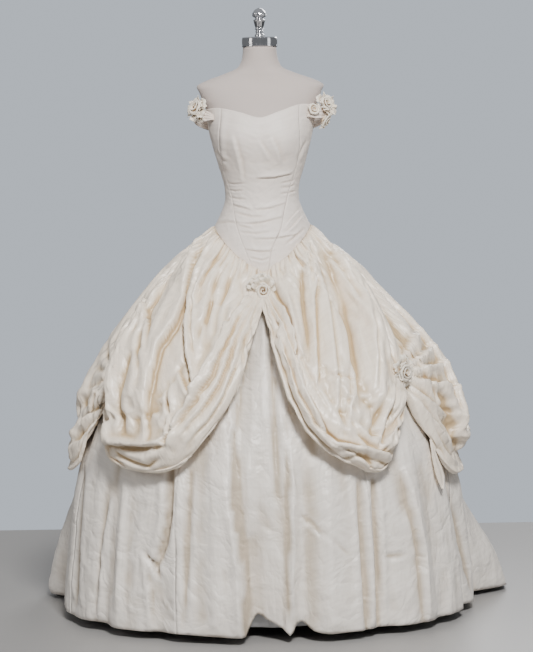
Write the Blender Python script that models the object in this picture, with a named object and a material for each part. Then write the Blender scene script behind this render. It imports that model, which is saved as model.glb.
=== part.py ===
"""A full wedding dress with a picked-up overskirt, on a limbless dress form with its stand. Metres, +Z up.

The origin is the middle of the stand's base, on the floor, and the front faces -Y. Left and right are as
seen from the front. An angle runs round the figure in degrees: 0 in front, 90 at the right, -90 at the left
and 180 behind. Every piece of cloth is a wall: a grid of points, rows downwards and columns round the figure,
and the same grid moved away by the cloth's thickness.
"""

import math
from collections import namedtuple

import bmesh
import bpy
import numpy as np
from mathutils import Matrix, Vector
from mathutils.bvhtree import BVHTree

# Driving dimensions
CLOTH = 0.002
SEAM = 0.0003
FORM_GAP = 0.0034
SEAM_ALLOWANCE = 0.014
BASQUE_POINT = 0.979
BASQUE_SIDE = 1.105
BASQUE_BACK = 1.05
BASQUE_POINTED = 1.3
BASQUE_ROUNDED = 1.5
SPRING = 0.16
BUST_HEIGHT = 1.345
BUST_ANGLE = 31.0
BUST_FULL = 0.014
BUST_WIDTH = 24.0
BUST_TALL = 0.055
BUST_SIDEWAYS = 0.35
TRAIN_START = 94.0
TRAIN_FULL = 105.0
FRONT_HEM = 0.012
FRONT_ENDS = 75.0
TRAIN_DOWN = 30.0
FORM_BOTTOM = 0.84
CAP_RADIUS = 0.050
CAP_BOTTOM = 1.61
CAP_TOP = 1.637
POLE_RADIUS = 0.0125
BASE_RADIUS = 0.19
BASE_TOP = 0.034
FLANGE_RADIUS = 0.055
FLANGE_TALL = 0.008

# The figure: at each height, half its width and its depth in front of and behind the axis
Level = namedtuple("Level", "z wide front back")
FIGURE = [
    Level(0.84, 0.160, 0.112, 0.122),
    Level(0.89, 0.169, 0.117, 0.128),
    Level(0.95, 0.171, 0.119, 0.129),
    Level(1.00, 0.163, 0.117, 0.123),
    Level(1.05, 0.151, 0.112, 0.114),
    Level(1.10, 0.1365, 0.105, 0.102),
    Level(1.14, 0.1160, 0.097, 0.092),
    Level(1.18, 0.1027, 0.091, 0.086),
    Level(1.217, 0.1036, 0.092, 0.087),
    Level(1.25, 0.1120, 0.098, 0.091),
    Level(1.285, 0.1225, 0.106, 0.096),
    Level(1.32, 0.1325, 0.114, 0.101),
    Level(1.36, 0.1425, 0.117, 0.105),
    Level(1.40, 0.1500, 0.110, 0.107),
    Level(1.43, 0.1570, 0.100, 0.106),
    Level(1.46, 0.1670, 0.087, 0.101),
    Level(1.485, 0.1765, 0.073, 0.092),
    Level(1.505, 0.1810, 0.060, 0.078),
    Level(1.518, 0.1550, 0.056, 0.071),
    Level(1.534, 0.1100, 0.054, 0.065),
    Level(1.550, 0.0710, 0.052, 0.060),
    Level(1.568, 0.0575, 0.0505, 0.055),
    Level(1.59, 0.0520, 0.0505, 0.052),
    Level(1.61, 0.0505, 0.0505, 0.0505),
]

# The skirt's plain shape, which the overskirt lies on: the train spreads it at the floor, more at the right
Flare = namedtuple("Flare", "z wide front back train_left train_right")
SKIRT = [
    Flare(0.00, 0.592, 0.496, 0.925, 0.085, 0.180),
    Flare(0.10, 0.586, 0.490, 0.800, 0.075, 0.150),
    Flare(0.20, 0.574, 0.474, 0.710, 0.055, 0.095),
    Flare(0.30, 0.562, 0.460, 0.640, 0.030, 0.040),
    Flare(0.40, 0.543, 0.441, 0.580, 0.000, 0.000),
    Flare(0.50, 0.514, 0.415, 0.525, 0.000, 0.000),
    Flare(0.60, 0.476, 0.380, 0.470, 0.000, 0.000),
    Flare(0.70, 0.440, 0.335, 0.412, 0.000, 0.000),
    Flare(0.78, 0.400, 0.290, 0.360, 0.000, 0.000),
    Flare(0.86, 0.347, 0.230, 0.300, 0.000, 0.000),
    Flare(0.93, 0.290, 0.172, 0.240, 0.000, 0.000),
    Flare(1.00, 0.233, 0.140, 0.176, 0.000, 0.000),
    Flare(1.05, 0.190, 0.128, 0.130, 0.000, 0.000),
    Flare(1.105, 0.140, 0.118, 0.110, 0.000, 0.000),
]

# How far inside the plain shape the underskirt and the petticoat lie, by the drop below the basque seam
Inset = namedtuple("Inset", "drop underskirt petticoat")
INSETS = [
    Inset(0.000, 0.00045, 0.0056),
    Inset(SEAM_ALLOWANCE, 0.00045, 0.0056),
    Inset(2 * SEAM_ALLOWANCE, 0.0019, 0.0056),
    Inset(0.070, 0.0060, 0.020),
    Inset(0.160, 0.0090, 0.045),
    Inset(0.500, 0.0090, 0.080),
    Inset(1.200, 0.0090, 0.100),
]

# The bodice's top edge, and the princess seams that run down from it
Edge = namedtuple("Edge", "angle z")
NECKLINE = [
    Edge(-180, 1.402),
    Edge(-150, 1.404),
    Edge(-120, 1.414),
    Edge(-95, 1.428),
    Edge(-70, 1.437),
    Edge(-43, 1.438),
    Edge(-20, 1.425),
    Edge(0, 1.4105),
    Edge(20, 1.428),
    Edge(42, 1.446),
    Edge(70, 1.441),
    Edge(95, 1.428),
    Edge(120, 1.414),
    Edge(150, 1.404),
    Edge(180, 1.402),
]
Princess = namedtuple("Princess", "z left right back")
PRINCESS = [
    Princess(0.98, -9, 5, 150),
    Princess(1.045, -20, 10, 150),
    Princess(1.10, -31, 22, 150),
    Princess(1.14, -42, 31, 148),
    Princess(1.18, -54, 42, 146),
    Princess(1.22, -62, 50, 144),
    Princess(1.26, -65, 54, 143),
    Princess(1.31, -60, 53, 143),
    Princess(1.37, -52, 47, 143),
    Princess(1.445, -43, 42, 143),
]
BODICE_ROWS = 10
FRONT_COLUMNS = 13
SIDE_SEAM = 90.0

# The angles of the grid's columns along the basque seam, which every piece sewn into it shares
SEAM_COLUMNS = (
    [-180, -170, -160, -150, -140, -130, -120, -110, -100, -90, -80, -70, -60, -50, -40, -30, -20, -10, 0]
    + [5, 10, 20, 30, 40, 50, 60, 70, 80, 90, 100, 110, 120, 130, 140, 150, 160, 170, 180]
)

# The underskirt's gores: where each is sewn into the basque seam, and where its seams meet the hem
Gore = namedtuple("Gore", "name start end hem_start hem_end")
GORES = [
    Gore("gore_back_left", -180, -130, -180, -126),
    Gore("gore_side_back_left", -130, -80, -126, -72),
    Gore("gore_side_front_left", -80, -30, -72, -25),
    Gore("gore_front", -30, 30, -25, 31),
    Gore("gore_side_front_right", 30, 80, 31, 72),
    Gore("gore_side_back_right", 80, 130, 72, 126),
    Gore("gore_back_right", 130, 180, 126, 180),
]
GORE_ROWS = [0.06, 0.13, 0.22, 0.33, 0.45, 0.58, 0.71, 0.83, 0.92, 1.0]
Panel = namedtuple("Panel", "name start end")
PETTICOAT = [
    Panel("petticoat_back_left", -180, -120),
    Panel("petticoat_side_left", -120, -60),
    Panel("petticoat_front_left", -60, 0),
    Panel("petticoat_front_right", 0, 60),
    Panel("petticoat_side_right", 60, 120),
    Panel("petticoat_back_right", 120, 180),
]
PETTICOAT_ROWS = [0.15, 0.4, 0.7, 1.0]
PETTICOAT_HEM = 0.03

# The underskirt's deepest folds, at the hem: each fades out as it rises to the height given
Fold = namedtuple("Fold", "angle width depth top")
FOLDS = [
    Fold(-165, 9, 0.030, 0.60),
    Fold(-146, 8, 0.022, 0.45),
    Fold(-118, 9, 0.028, 0.55),
    Fold(-98, 7, 0.020, 0.40),
    Fold(-52, 7, 0.016, 0.40),
    Fold(-31, 7, 0.018, 0.40),
    Fold(3, 13, 0.058, 0.55),
    Fold(33, 8, 0.022, 0.50),
    Fold(55, 7, 0.016, 0.45),
    Fold(76, 8, 0.022, 0.40),
    Fold(104, 9, 0.026, 0.55),
    Fold(133, 8, 0.022, 0.45),
    Fold(160, 9, 0.030, 0.60),
]
RECESS_ANGLE = 3.0
RECESS_WIDTH = 5.0
RECESS_LIFT = 0.045

# The overskirt's swags: where each is sewn into the basque seam, its fullness, and its lower edge from one
# pick-up to the next
Swag = namedtuple("Swag", "name start end full lift edge folds")
Lower = namedtuple("Lower", "along angle z")
Pleat = namedtuple("Pleat", "along width depth")
BACK_EDGE = [
    Lower(0.00, 120, 0.70),
    Lower(0.12, 126, 0.58),
    Lower(0.25, 135, 0.48),
    Lower(0.40, 146, 0.44),
    Lower(0.58, 157, 0.45),
    Lower(0.74, 168, 0.50),
    Lower(0.88, 176, 0.62),
    Lower(1.00, 180, 0.76),
]
BACK_PLEATS = [Pleat(0.3, 0.16, 0.014), Pleat(0.7, 0.16, 0.016)]
SWAGS = [
    Swag(
        "swag_back_left",
        -180,
        -130,
        0.060,
        0.5,
        [Lower(1 - row.along, -row.angle, row.z) for row in reversed(BACK_EDGE)],
        [Pleat(0.35, 0.16, 0.016), Pleat(0.75, 0.16, 0.012)],
    ),
    Swag(
        "swag_side_left",
        -130,
        -80,
        0.056,
        0.35,
        [
            Lower(0.00, -120, 0.70),
            Lower(0.12, -116, 0.58),
            Lower(0.26, -107, 0.47),
            Lower(0.42, -97, 0.425),
            Lower(0.58, -87, 0.415),
            Lower(0.72, -78, 0.435),
            Lower(0.84, -73, 0.50),
            Lower(0.93, -69, 0.60),
            Lower(1.00, -64, 0.70),
        ],
        [Pleat(0.4, 0.16, 0.014), Pleat(0.8, 0.14, 0.012)],
    ),
    Swag(
        "swag_front_left",
        -80,
        0,
        0.072,
        0.0,
        [
            Lower(0.00, -64.0, 0.700),
            Lower(0.10, -60.0, 0.600),
            Lower(0.20, -56.5, 0.500),
            Lower(0.30, -47.0, 0.455),
            Lower(0.41, -32.0, 0.443),
            Lower(0.52, -22.5, 0.475),
            Lower(0.64, -15.0, 0.560),
            Lower(0.76, -8.0, 0.660),
            Lower(0.88, -3.8, 0.785),
            Lower(1.00, 0.0, 0.905),
        ],
        [Pleat(0.25, 0.13, 0.012), Pleat(0.5, 0.13, 0.016), Pleat(0.75, 0.13, 0.014)],
    ),
    Swag(
        "swag_front_right",
        0,
        80,
        0.072,
        0.0,
        [
            Lower(0.00, 0.0, 0.905),
            Lower(0.12, 3.5, 0.790),
            Lower(0.24, 6.8, 0.690),
            Lower(0.36, 11.5, 0.585),
            Lower(0.48, 19.0, 0.505),
            Lower(0.60, 27.5, 0.447),
            Lower(0.70, 34.0, 0.437),
            Lower(0.80, 40.0, 0.475),
            Lower(0.90, 46.5, 0.560),
            Lower(1.00, 53.0, 0.690),
        ],
        [Pleat(0.25, 0.13, 0.014), Pleat(0.5, 0.13, 0.012), Pleat(0.75, 0.13, 0.016)],
    ),
    Swag(
        "swag_side_right",
        80,
        130,
        0.077,
        1.0,
        [
            Lower(0.00, 53, 0.69),
            Lower(0.08, 56, 0.58),
            Lower(0.18, 62, 0.47),
            Lower(0.30, 69, 0.405),
            Lower(0.45, 80, 0.390),
            Lower(0.60, 92, 0.405),
            Lower(0.75, 104, 0.455),
            Lower(0.88, 114, 0.560),
            Lower(1.00, 120, 0.70),
        ],
        [Pleat(0.2, 0.14, 0.012), Pleat(0.6, 0.16, 0.014)],
    ),
    Swag("swag_back_right", 130, 180, 0.060, 0.5, BACK_EDGE, BACK_PLEATS),
]

# Down a swag, from the seam to its lower edge and then turned under and up: the share of the way down, and
# how much of the pinched depth and of the full depth it stands out, where the fullness hangs low and where it
# is lifted
Down = namedtuple("Down", "share pinched low lifted")
PINCHED = 0.016
SWELL_POWER = 0.7
PLEAT_POWER = 0.8
PLEATED_FROM = 0.2
SWAG_PROFILE = [
    Down(0.000, 0.00, 0.00, 0.00),
    Down(0.110, 0.35, 0.10, 0.00),
    Down(0.230, 0.70, 0.24, 0.04),
    Down(0.360, 1.00, 0.42, 0.24),
    Down(0.500, 1.00, 0.60, 0.74),
    Down(0.640, 1.00, 0.78, 1.00),
    Down(0.780, 1.00, 0.93, 0.82),
    Down(0.890, 1.00, 1.00, 0.42),
    Down(0.965, 0.95, 0.88, 0.28),
    Down(1.000, 0.75, 0.60, 0.18),
    Down(0.985, 0.55, 0.32, 0.11),
    Down(0.940, 0.50, 0.14, 0.06),
    Down(0.880, 0.45, 0.05, 0.03),
]

# Sleeve bands: half a loop beside the shoulder, from the bodice's front to its back, higher in the middle
Sleeve = namedtuple("Sleeve", "name side front_angle back_angle reach top tall drop rise")
SLEEVES = [
    Sleeve("sleeve_left", -1, 57, 126, 0.056, 1.432, 0.036, 0.028, 0.016),
    Sleeve("sleeve_right", 1, 56, 126, 0.056, 1.436, 0.036, 0.030, 0.016),
]
SLEEVE_COLUMNS = 11
SLEEVE_SLOPE = 0.08
SLEEVE_GAP = 0.0009

# The tie that picks the overskirt up at the right ends in a tail that hangs below the rose: down its length,
# the angle and height of its middle line, and its half width
Tail = namedtuple("Tail", "along angle z half")
TAIL = [
    Tail(0.00, 60.6, 0.512, 0.006),
    Tail(0.15, 60.4, 0.492, 0.013),
    Tail(0.50, 59.8, 0.455, 0.017),
    Tail(0.80, 59.8, 0.408, 0.014),
    Tail(1.00, 59.8, 0.376, 0.003),
]
TAIL_STANDS = 0.045
TAIL_FOLD = 0.004
TAIL_CARRIERS = ["swag_side_right", "swag_front_right", "gore_side_front_right", "gore_side_back_right"]

# Fabric roses: the pieces that carry each one, its middle as seen from the front, the angle it faces, and its
# size
Rose = namedtuple("Rose", "name carriers x z facing radius tall turns")
FRONT_SWAGS = ["swag_front_left", "swag_front_right"]
LEFT_SWAGS = ["swag_front_left", "swag_side_left"]
RIGHT_SWAGS = ["swag_front_right", "swag_side_right"]
ROSES = [
    Rose("sleeve_rose_left_main", ["sleeve_left"], -0.183, 1.440, -50, 0.0260, 0.020, 2.0),
    Rose("sleeve_rose_left_bud", ["sleeve_left"], -0.166, 1.411, -30, 0.0140, 0.014, 1.5),
    Rose("sleeve_rose_right_main", ["sleeve_right"], 0.183, 1.446, 50, 0.0230, 0.020, 2.0),
    Rose("sleeve_rose_right_small", ["sleeve_right"], 0.148, 1.430, 18, 0.0150, 0.014, 1.5),
    Rose("sleeve_rose_right_side", ["sleeve_right"], 0.190, 1.402, 70, 0.0150, 0.016, 1.5),
    Rose("rosette_front", FRONT_SWAGS, -0.003, 0.930, 0, 0.0240, 0.018, 2.0),
    Rose("rosette_left", LEFT_SWAGS, -0.402, 0.705, -60, 0.0300, 0.022, 2.0),
    Rose("rosette_right", RIGHT_SWAGS, 0.372, 0.703, 50, 0.0300, 0.022, 2.0),
]
ROSE_STEPS = 8
EDGE_SHARES = (0, 0.2, 0.4, 0.6, 0.8)
SEAT_REACH = 0.08
SEAT_STEP = 0.001
SEAT_HALVINGS = 6
BUTTON_RADIUS = 0.006
BUTTON_HEIGHTS = [1.08, 1.13, 1.18, 1.23, 1.28, 1.33, 1.38]
PLACKET_HALF = 7.0

# Turned profiles, as radius and height
FINIAL_PROFILE = [
    (0.0125, 0.0000),
    (0.0135, 0.0040),
    (0.0120, 0.0085),
    (0.0095, 0.0110),
    (0.0112, 0.0145),
    (0.0112, 0.0170),
    (0.0095, 0.0195),
    (0.0125, 0.0225),
    (0.0115, 0.0255),
    (0.0135, 0.0340),
    (0.0160, 0.0450),
    (0.0165, 0.0485),
    (0.0115, 0.0515),
    (0.0115, 0.0540),
    (0.0185, 0.0585),
    (0.0194, 0.0625),
    (0.0160, 0.0715),
    (0.0085, 0.0795),
    (0.0020, 0.0825),
]
BASE_PROFILE = [
    (BASE_RADIUS, 0.0),
    (BASE_RADIUS, 0.010),
    (BASE_RADIUS - 0.008, 0.014),
    (0.090, 0.018),
    (0.030, 0.024),
    (0.022, BASE_TOP),
]


def read(rows, field, at):
    """A column of a table, read as a smooth curve at the places given in its first column's units."""
    keys = np.array([float(row[0]) for row in rows])
    values = np.array([float(getattr(row, field)) for row in rows])
    at = np.clip(at, keys[0], keys[-1])
    slopes = np.gradient(values, keys)
    i = np.clip(np.searchsorted(keys, at, side="right") - 1, 0, len(keys) - 2)
    span = keys[i + 1] - keys[i]
    t = (at - keys[i]) / span
    rise = t * t * (3 - 2 * t)
    bend = t * (1 - t) * ((1 - t) * slopes[i] - t * slopes[i + 1])
    return values[i] * (1 - rise) + values[i + 1] * rise + span * bend


def smooth(x):
    x = np.clip(x, 0, 1)
    return x * x * (3 - 2 * x)


def ring(angle, wide, front, back):
    """Level points of a rounded outline with its own depth in front and behind."""
    turn = np.radians(angle)
    depth = np.where(np.cos(turn) > 0, front, back)
    return np.stack([wide * np.sin(turn), -depth * np.cos(turn)], axis=-1)


def figure(angle, z):
    """Points of the figure's surface, which the bodice's inner side follows."""
    angle, z = np.broadcast_arrays(np.asarray(angle, float), np.asarray(z, float))
    level = ring(angle, read(FIGURE, "wide", z), read(FIGURE, "front", z), read(FIGURE, "back", z))
    cup = np.exp(-(((np.abs(angle) - BUST_ANGLE) / BUST_WIDTH) ** 2) - ((z - BUST_HEIGHT) / BUST_TALL) ** 2)
    turn = np.radians(angle)
    way = np.stack([BUST_SIDEWAYS * np.sin(turn), -np.cos(turn)], axis=-1)
    level = level + (BUST_FULL * cup)[..., None] * way
    return np.concatenate([level, z[..., None]], axis=-1)


def sideways(surface, angle, z):
    """The level direction along a surface, towards rising angles."""
    step = surface(angle + 0.5, z) - surface(angle - 0.5, z)
    step[..., 2] = 0
    return step / np.linalg.norm(step, axis=-1, keepdims=True)


def outwards(along):
    """The level direction square to one that runs along the surface."""
    return np.stack([along[..., 1], -along[..., 0], 0 * along[..., 0]], axis=-1)


def basque(angle):
    """The height of the basque seam: a point in front, highest at the sides, and a little lower behind."""
    turn = np.radians(angle)
    in_front = BASQUE_POINT + (BASQUE_SIDE - BASQUE_POINT) * np.abs(np.sin(turn)) ** BASQUE_POINTED
    behind = BASQUE_SIDE - (BASQUE_SIDE - BASQUE_BACK) * np.abs(np.cos(turn)) ** BASQUE_ROUNDED
    return np.where(np.cos(turn) > 0, in_front, behind)


def skirt(angle, z):
    """The skirt's plain shape: it springs out from the basque seam, then follows the skirt's own sections."""
    angle, z = np.broadcast_arrays(np.asarray(angle, float), np.asarray(z, float))
    top = basque(angle)
    drop = np.maximum(top - z, 0)
    start = figure(angle, top)
    near = start + outwards(sideways(figure, angle, top)) * drop[..., None]
    behind = smooth((np.abs(angle) - TRAIN_START) / (TRAIN_FULL - TRAIN_START))
    train = np.where(angle > 0, read(SKIRT, "train_right", z), read(SKIRT, "train_left", z)) * behind
    wide = read(SKIRT, "wide", z) + train
    far = ring(angle, wide, read(SKIRT, "front", z), read(SKIRT, "back", z))
    share = smooth(drop / SPRING)[..., None]
    level = near[..., :2] * (1 - share) + far * share
    return np.concatenate([level, z[..., None]], axis=-1)


def hem(angle):
    """The underskirt's hem: just off the floor in front, lifted in the recess, and on the floor behind."""
    front = 1 - smooth((np.abs(angle) - FRONT_ENDS) / TRAIN_DOWN)
    recess = RECESS_LIFT * np.exp(-(((angle - RECESS_ANGLE) / RECESS_WIDTH) ** 2))
    return FRONT_HEM * front + recess


def fold_depth(angle, z):
    """How far the underskirt's folds go in."""
    depth = 0 * angle
    for fold in FOLDS:
        across = np.clip(1 - np.abs(angle - fold.angle) / fold.width, 0, 1)
        depth += fold.depth * across * smooth((fold.top - z) / fold.top)
    return depth


def across_columns(points, along):
    """The direction out of the cloth at each point of a grid, square to its columns."""
    down = np.gradient(points, axis=0)
    out = np.cross(down, along)
    return out / np.linalg.norm(out, axis=-1, keepdims=True)


def trimmed(points, along, gap=SEAM):
    """The grid with half a seam's gap taken off each side edge."""
    points = points.copy()
    points[:, 0] += along[:, 0] * gap / 2
    points[:, -1] -= along[:, -1] * gap / 2
    return points


def material(name, colour, roughness, metallic=0.0):
    made = bpy.data.materials.new(name)
    made.use_nodes = True
    shader = made.node_tree.nodes["Principled BSDF"]
    shader.inputs["Base Color"].default_value = (*colour, 1)
    shader.inputs["Roughness"].default_value = roughness
    shader.inputs["Metallic"].default_value = metallic
    return made


def add_object(name, mesh, finish):
    made = bpy.data.objects.new(name, mesh)
    made.data.materials.append(finish)
    bpy.context.scene.collection.objects.link(made)
    return made


def object_from(name, bm, finish):
    bmesh.ops.recalc_face_normals(bm, faces=bm.faces[:])
    mesh = bpy.data.meshes.new(name)
    bm.to_mesh(mesh)
    bm.free()
    mesh.shade_smooth()
    mesh.set_sharp_from_angle(angle=math.radians(40))
    return add_object(name, mesh, finish)


def wall(name, face, away, finish):
    """A closed wall of cloth: a grid of points, the grid moved away, and the edges that join them."""
    bm = bmesh.new()
    rows, columns = face.shape[:2]
    sides = [[[bm.verts.new(point) for point in row] for row in grid] for grid in (face, face + away)]
    for grid in sides:
        for r in range(rows - 1):
            for c in range(columns - 1):
                bm.faces.new((grid[r][c], grid[r + 1][c], grid[r + 1][c + 1], grid[r][c + 1]))
    rims = [(r, c, r, c + 1) for r in (0, rows - 1) for c in range(columns - 1)]
    rims += [(r, c, r + 1, c) for c in (0, columns - 1) for r in range(rows - 1)]
    near, far = sides
    for r, c, s, d in rims:
        bm.faces.new((near[r][c], near[s][d], far[s][d], far[r][c]))
    return object_from(name, bm, finish)


def turned(name, profile, finish, steps=32):
    """A solid turned about +Z: a profile of radius and height, closed at the axis."""
    bm = bmesh.new()
    outline = [(0, profile[0][1]), *profile, (0, profile[-1][1])]
    verts = [bm.verts.new((radius, 0, z)) for radius, z in outline]
    edges = [bm.edges.new(pair) for pair in zip(verts, verts[1:])]
    bmesh.ops.spin(
        bm, geom=verts + edges, axis=(0, 0, 1), cent=(0, 0, 0), steps=steps, angle=math.tau, use_merge=True
    )
    bmesh.ops.remove_doubles(bm, verts=bm.verts[:], dist=1e-5)
    return object_from(name, bm, finish)


def make_form(jersey):
    """The dress form's body: one ring of points for each level of the figure, bridged and closed."""
    bm = bmesh.new()
    angles = np.array([a for a in SEAM_COLUMNS if a != 180 and a != 5])
    rings = []
    for level in FIGURE:
        points = figure(angles, level.z)
        points = points - outwards(sideways(figure, angles, np.full(len(angles), level.z))) * FORM_GAP
        verts = [bm.verts.new(point) for point in points]
        rings.append([bm.edges.new((a, b)) for a, b in zip(verts, verts[1:] + verts[:1])])
    for lower, upper in zip(rings, rings[1:]):
        bmesh.ops.bridge_loops(bm, edges=lower + upper)
    bmesh.ops.holes_fill(bm, edges=[e for e in bm.edges if e.is_boundary])
    return object_from("form_torso", bm, jersey)


def make_stand(chrome, iron, enamel):
    cap = [(CAP_RADIUS, 0), (CAP_RADIUS, 0.0255), (CAP_RADIUS - 0.0015, CAP_TOP - CAP_BOTTOM)]
    parts = [
        (turned("form_cap", cap, chrome), CAP_BOTTOM + SEAM),
        (turned("form_finial", FINIAL_PROFILE, chrome, 16), CAP_TOP + 2 * SEAM),
    ]
    flange_bottom = FORM_BOTTOM - SEAM - FLANGE_TALL
    flange = [(FLANGE_RADIUS - 0.003, 0), (FLANGE_RADIUS, 0.003), (FLANGE_RADIUS, FLANGE_TALL)]
    pole = [(POLE_RADIUS, 0), (POLE_RADIUS, flange_bottom - BASE_TOP - 2 * SEAM)]
    parts += [
        (turned("stand_flange", flange, iron, steps=24), flange_bottom),
        (turned("stand_pole", pole, chrome, steps=20), BASE_TOP + SEAM),
        (turned("stand_base", BASE_PROFILE, enamel, steps=36), 0),
    ]
    for piece, height in parts:
        piece.location.z = height


def panel_grid(angles, left, right):
    """Columns of a bodice panel, from the neckline down to the basque seam, between its two seams."""
    shares = np.array([(a - angles[0]) / (angles[-1] - angles[0]) for a in angles])
    low = basque(np.array(angles, float))
    top_angles = left(1.44) + (right(1.44) - left(1.44)) * shares
    top = read(NECKLINE, "z", top_angles)
    up = np.linspace(1, 0, BODICE_ROWS + 1)[:, None]
    z = low + (top - low) * up
    angle = left(z) + (right(z) - left(z)) * shares
    foot = left(low) + (right(low) - left(low)) * shares
    angle = angle + (np.array(angles) - foot) * (1 - up) ** 4
    return angle, z


def princess(field, sign=1):
    """A seam line of the bodice: its angle at a height."""
    return lambda z: sign * read(PRINCESS, field, z)


def upright(angle):
    """A seam that runs straight down."""
    return lambda z: angle + 0 * z


def make_bodice(silk):
    front_left, front_right = princess("left"), princess("right")
    back_left, back_right = princess("back", -1), princess("back")
    seams = [
        ("bodice_back_left", -180, -150, upright(-180), back_left),
        ("bodice_side_back_left", -150, -90, back_left, upright(-SIDE_SEAM)),
        ("bodice_side_front_left", -90, -10, upright(-SIDE_SEAM), front_left),
        ("bodice_front", -10, 5, front_left, front_right),
        ("bodice_side_front_right", 5, 90, front_right, upright(SIDE_SEAM)),
        ("bodice_side_back_right", 90, 150, upright(SIDE_SEAM), back_right),
        ("bodice_back_right", 150, 180, back_right, upright(180)),
    ]
    for name, start, end, left, right in seams:
        angles = [a for a in SEAM_COLUMNS if start <= a <= end]
        if name == "bodice_front":
            angles = list(np.linspace(start, end, FRONT_COLUMNS))
        angle, z = panel_grid(angles, left, right)
        if name == "bodice_front":
            z[-1] = np.interp(angles, [start, 0, end], basque(np.array([start, 0.0, end])))
        inner = figure(angle, z)
        along = sideways(figure, angle, z)
        away = across_columns(inner, along)
        away[-1] = outwards(along[-1])
        wall(name, trimmed(inner, along), away * CLOTH, silk)


def make_placket(silk):
    """The strip that closes the centre back, lying on both back panels."""
    angles = np.array([-180 - PLACKET_HALF, -180, -180 + PLACKET_HALF])
    low = basque(np.array(180.0)) + SEAM
    top = read(NECKLINE, "z", 180)
    z = np.linspace(top, low, BODICE_ROWS + 1)[:, None] + 0 * angles
    inner = figure(angles, z)
    out = across_columns(inner, sideways(figure, angles, z))
    wall("bodice_placket", inner + out * (CLOTH + SEAM), out * CLOTH, silk)


def make_gores(silk):
    """The underskirt: its outer side hangs inside the plain shape, and its wall goes inwards."""
    for gore in GORES:
        tops = np.array([a for a in SEAM_COLUMNS if gore.start <= a <= gore.end], float)
        shares = (tops - gore.start) / (gore.end - gore.start)
        hems = gore.hem_start + (gore.hem_end - gore.hem_start) * shares
        seam = basque(tops)
        steps = np.array([0, 0, *GORE_ROWS])[:, None]
        start = seam - np.array([1, 2] + [2] * len(GORE_ROWS))[:, None] * SEAM_ALLOWANCE
        z = start + (hem(hems) - start) * steps
        angle = tops + (hems - tops) * steps
        drop = seam - z
        along = sideways(skirt, angle, z)
        depth = read(INSETS, "underskirt", drop) + fold_depth(angle, z)
        outer = skirt(angle, z) - outwards(along) * depth[..., None]
        outer[:, :, 2] = z
        away = -across_columns(outer, along)
        away[-1] = -outwards(along[-1])
        wall(gore.name, trimmed(outer, along), away * CLOTH, silk)


def make_petticoat(cotton):
    """The petticoat's panels inside the underskirt, sewn in with it."""
    for panel in PETTICOAT:
        angles = np.array([a for a in SEAM_COLUMNS if panel.start <= a <= panel.end], float)
        seam = basque(angles)
        steps = np.array([0, *PETTICOAT_ROWS])[:, None]
        start = seam - 2 * SEAM_ALLOWANCE
        z = start + (PETTICOAT_HEM - start) * steps
        along = sideways(skirt, angles + 0 * z, z)
        depth = read(INSETS, "petticoat", seam - z)
        outer = skirt(angles, z) - outwards(along) * depth[..., None]
        away = -across_columns(outer, along)
        away[-1] = -outwards(along[-1])
        wall(panel.name, trimmed(outer, along), away * CLOTH, cotton)


def swag_grid(swag):
    """A swag's inner points and the level direction along it, from the seam to its turned-under edge."""
    tops = np.array([a for a in SEAM_COLUMNS if swag.start <= a <= swag.end], float)
    share = (tops - swag.start) / (swag.end - swag.start)
    low_angle = read(swag.edge, "angle", share)
    low_z = read(swag.edge, "z", share)
    seam = basque(tops)
    down = np.array([row.share for row in SWAG_PROFILE])[:, None]
    pinched = np.array([row.pinched for row in SWAG_PROFILE])[:, None]
    start = seam - SEAM_ALLOWANCE
    z = np.vstack([seam - SEAM, start + (low_z - start) * down])
    angle = np.vstack([tops, tops + (low_angle - tops) * down])
    low = np.array([row.low for row in SWAG_PROFILE])[:, None]
    lifted = np.array([row.lifted for row in SWAG_PROFILE])[:, None]
    full = low + (lifted - low) * swag.lift
    swell = (swag.full - PINCHED) * np.sin(np.pi * share) ** SWELL_POWER
    stand = np.vstack([0 * tops, PINCHED * pinched + swell * full])
    pleated = np.sin(np.pi * down**PLEAT_POWER) * (full > PLEATED_FROM)
    for pleat in swag.folds:
        trough = np.clip(1 - np.abs(share - pleat.along) / pleat.width, 0, 1)
        stand[1:] -= pleat.depth * trough * pleated
    along = sideways(skirt, angle, z)
    points = skirt(angle, z) + outwards(along) * stand[..., None]
    return points, along


def make_swags(silk):
    for swag in SWAGS:
        inner, along = swag_grid(swag)
        away = across_columns(inner, along)
        tops = np.array([a for a in SEAM_COLUMNS if swag.start <= a <= swag.end], float)
        away[0] = outwards(sideways(figure, tops, basque(tops)))
        wall(swag.name, trimmed(inner, along, 2 * SEAM), away * CLOTH, silk)


def surfaces(names):
    """The surfaces of the named pieces, and points along all their edges, to measure how near a piece is."""
    bm = bmesh.new()
    for name in names:
        bm.from_mesh(bpy.data.objects[name].data)
    tree = BVHTree.FromBMesh(bm)
    points = [edge.verts[0].co.lerp(edge.verts[1].co, share) for edge in bm.edges for share in EDGE_SHARES]
    bm.free()
    return tree, points


def is_clear(tree, points, own_tree, own_points, step):
    """Whether a piece moved by a step lies at least a seam's gap off the surfaces."""
    if min(tree.find_nearest(point + step)[3] for point in own_points) < SEAM:
        return False
    return min(own_tree.find_nearest(point - step)[3] for point in points) >= SEAM


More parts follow.
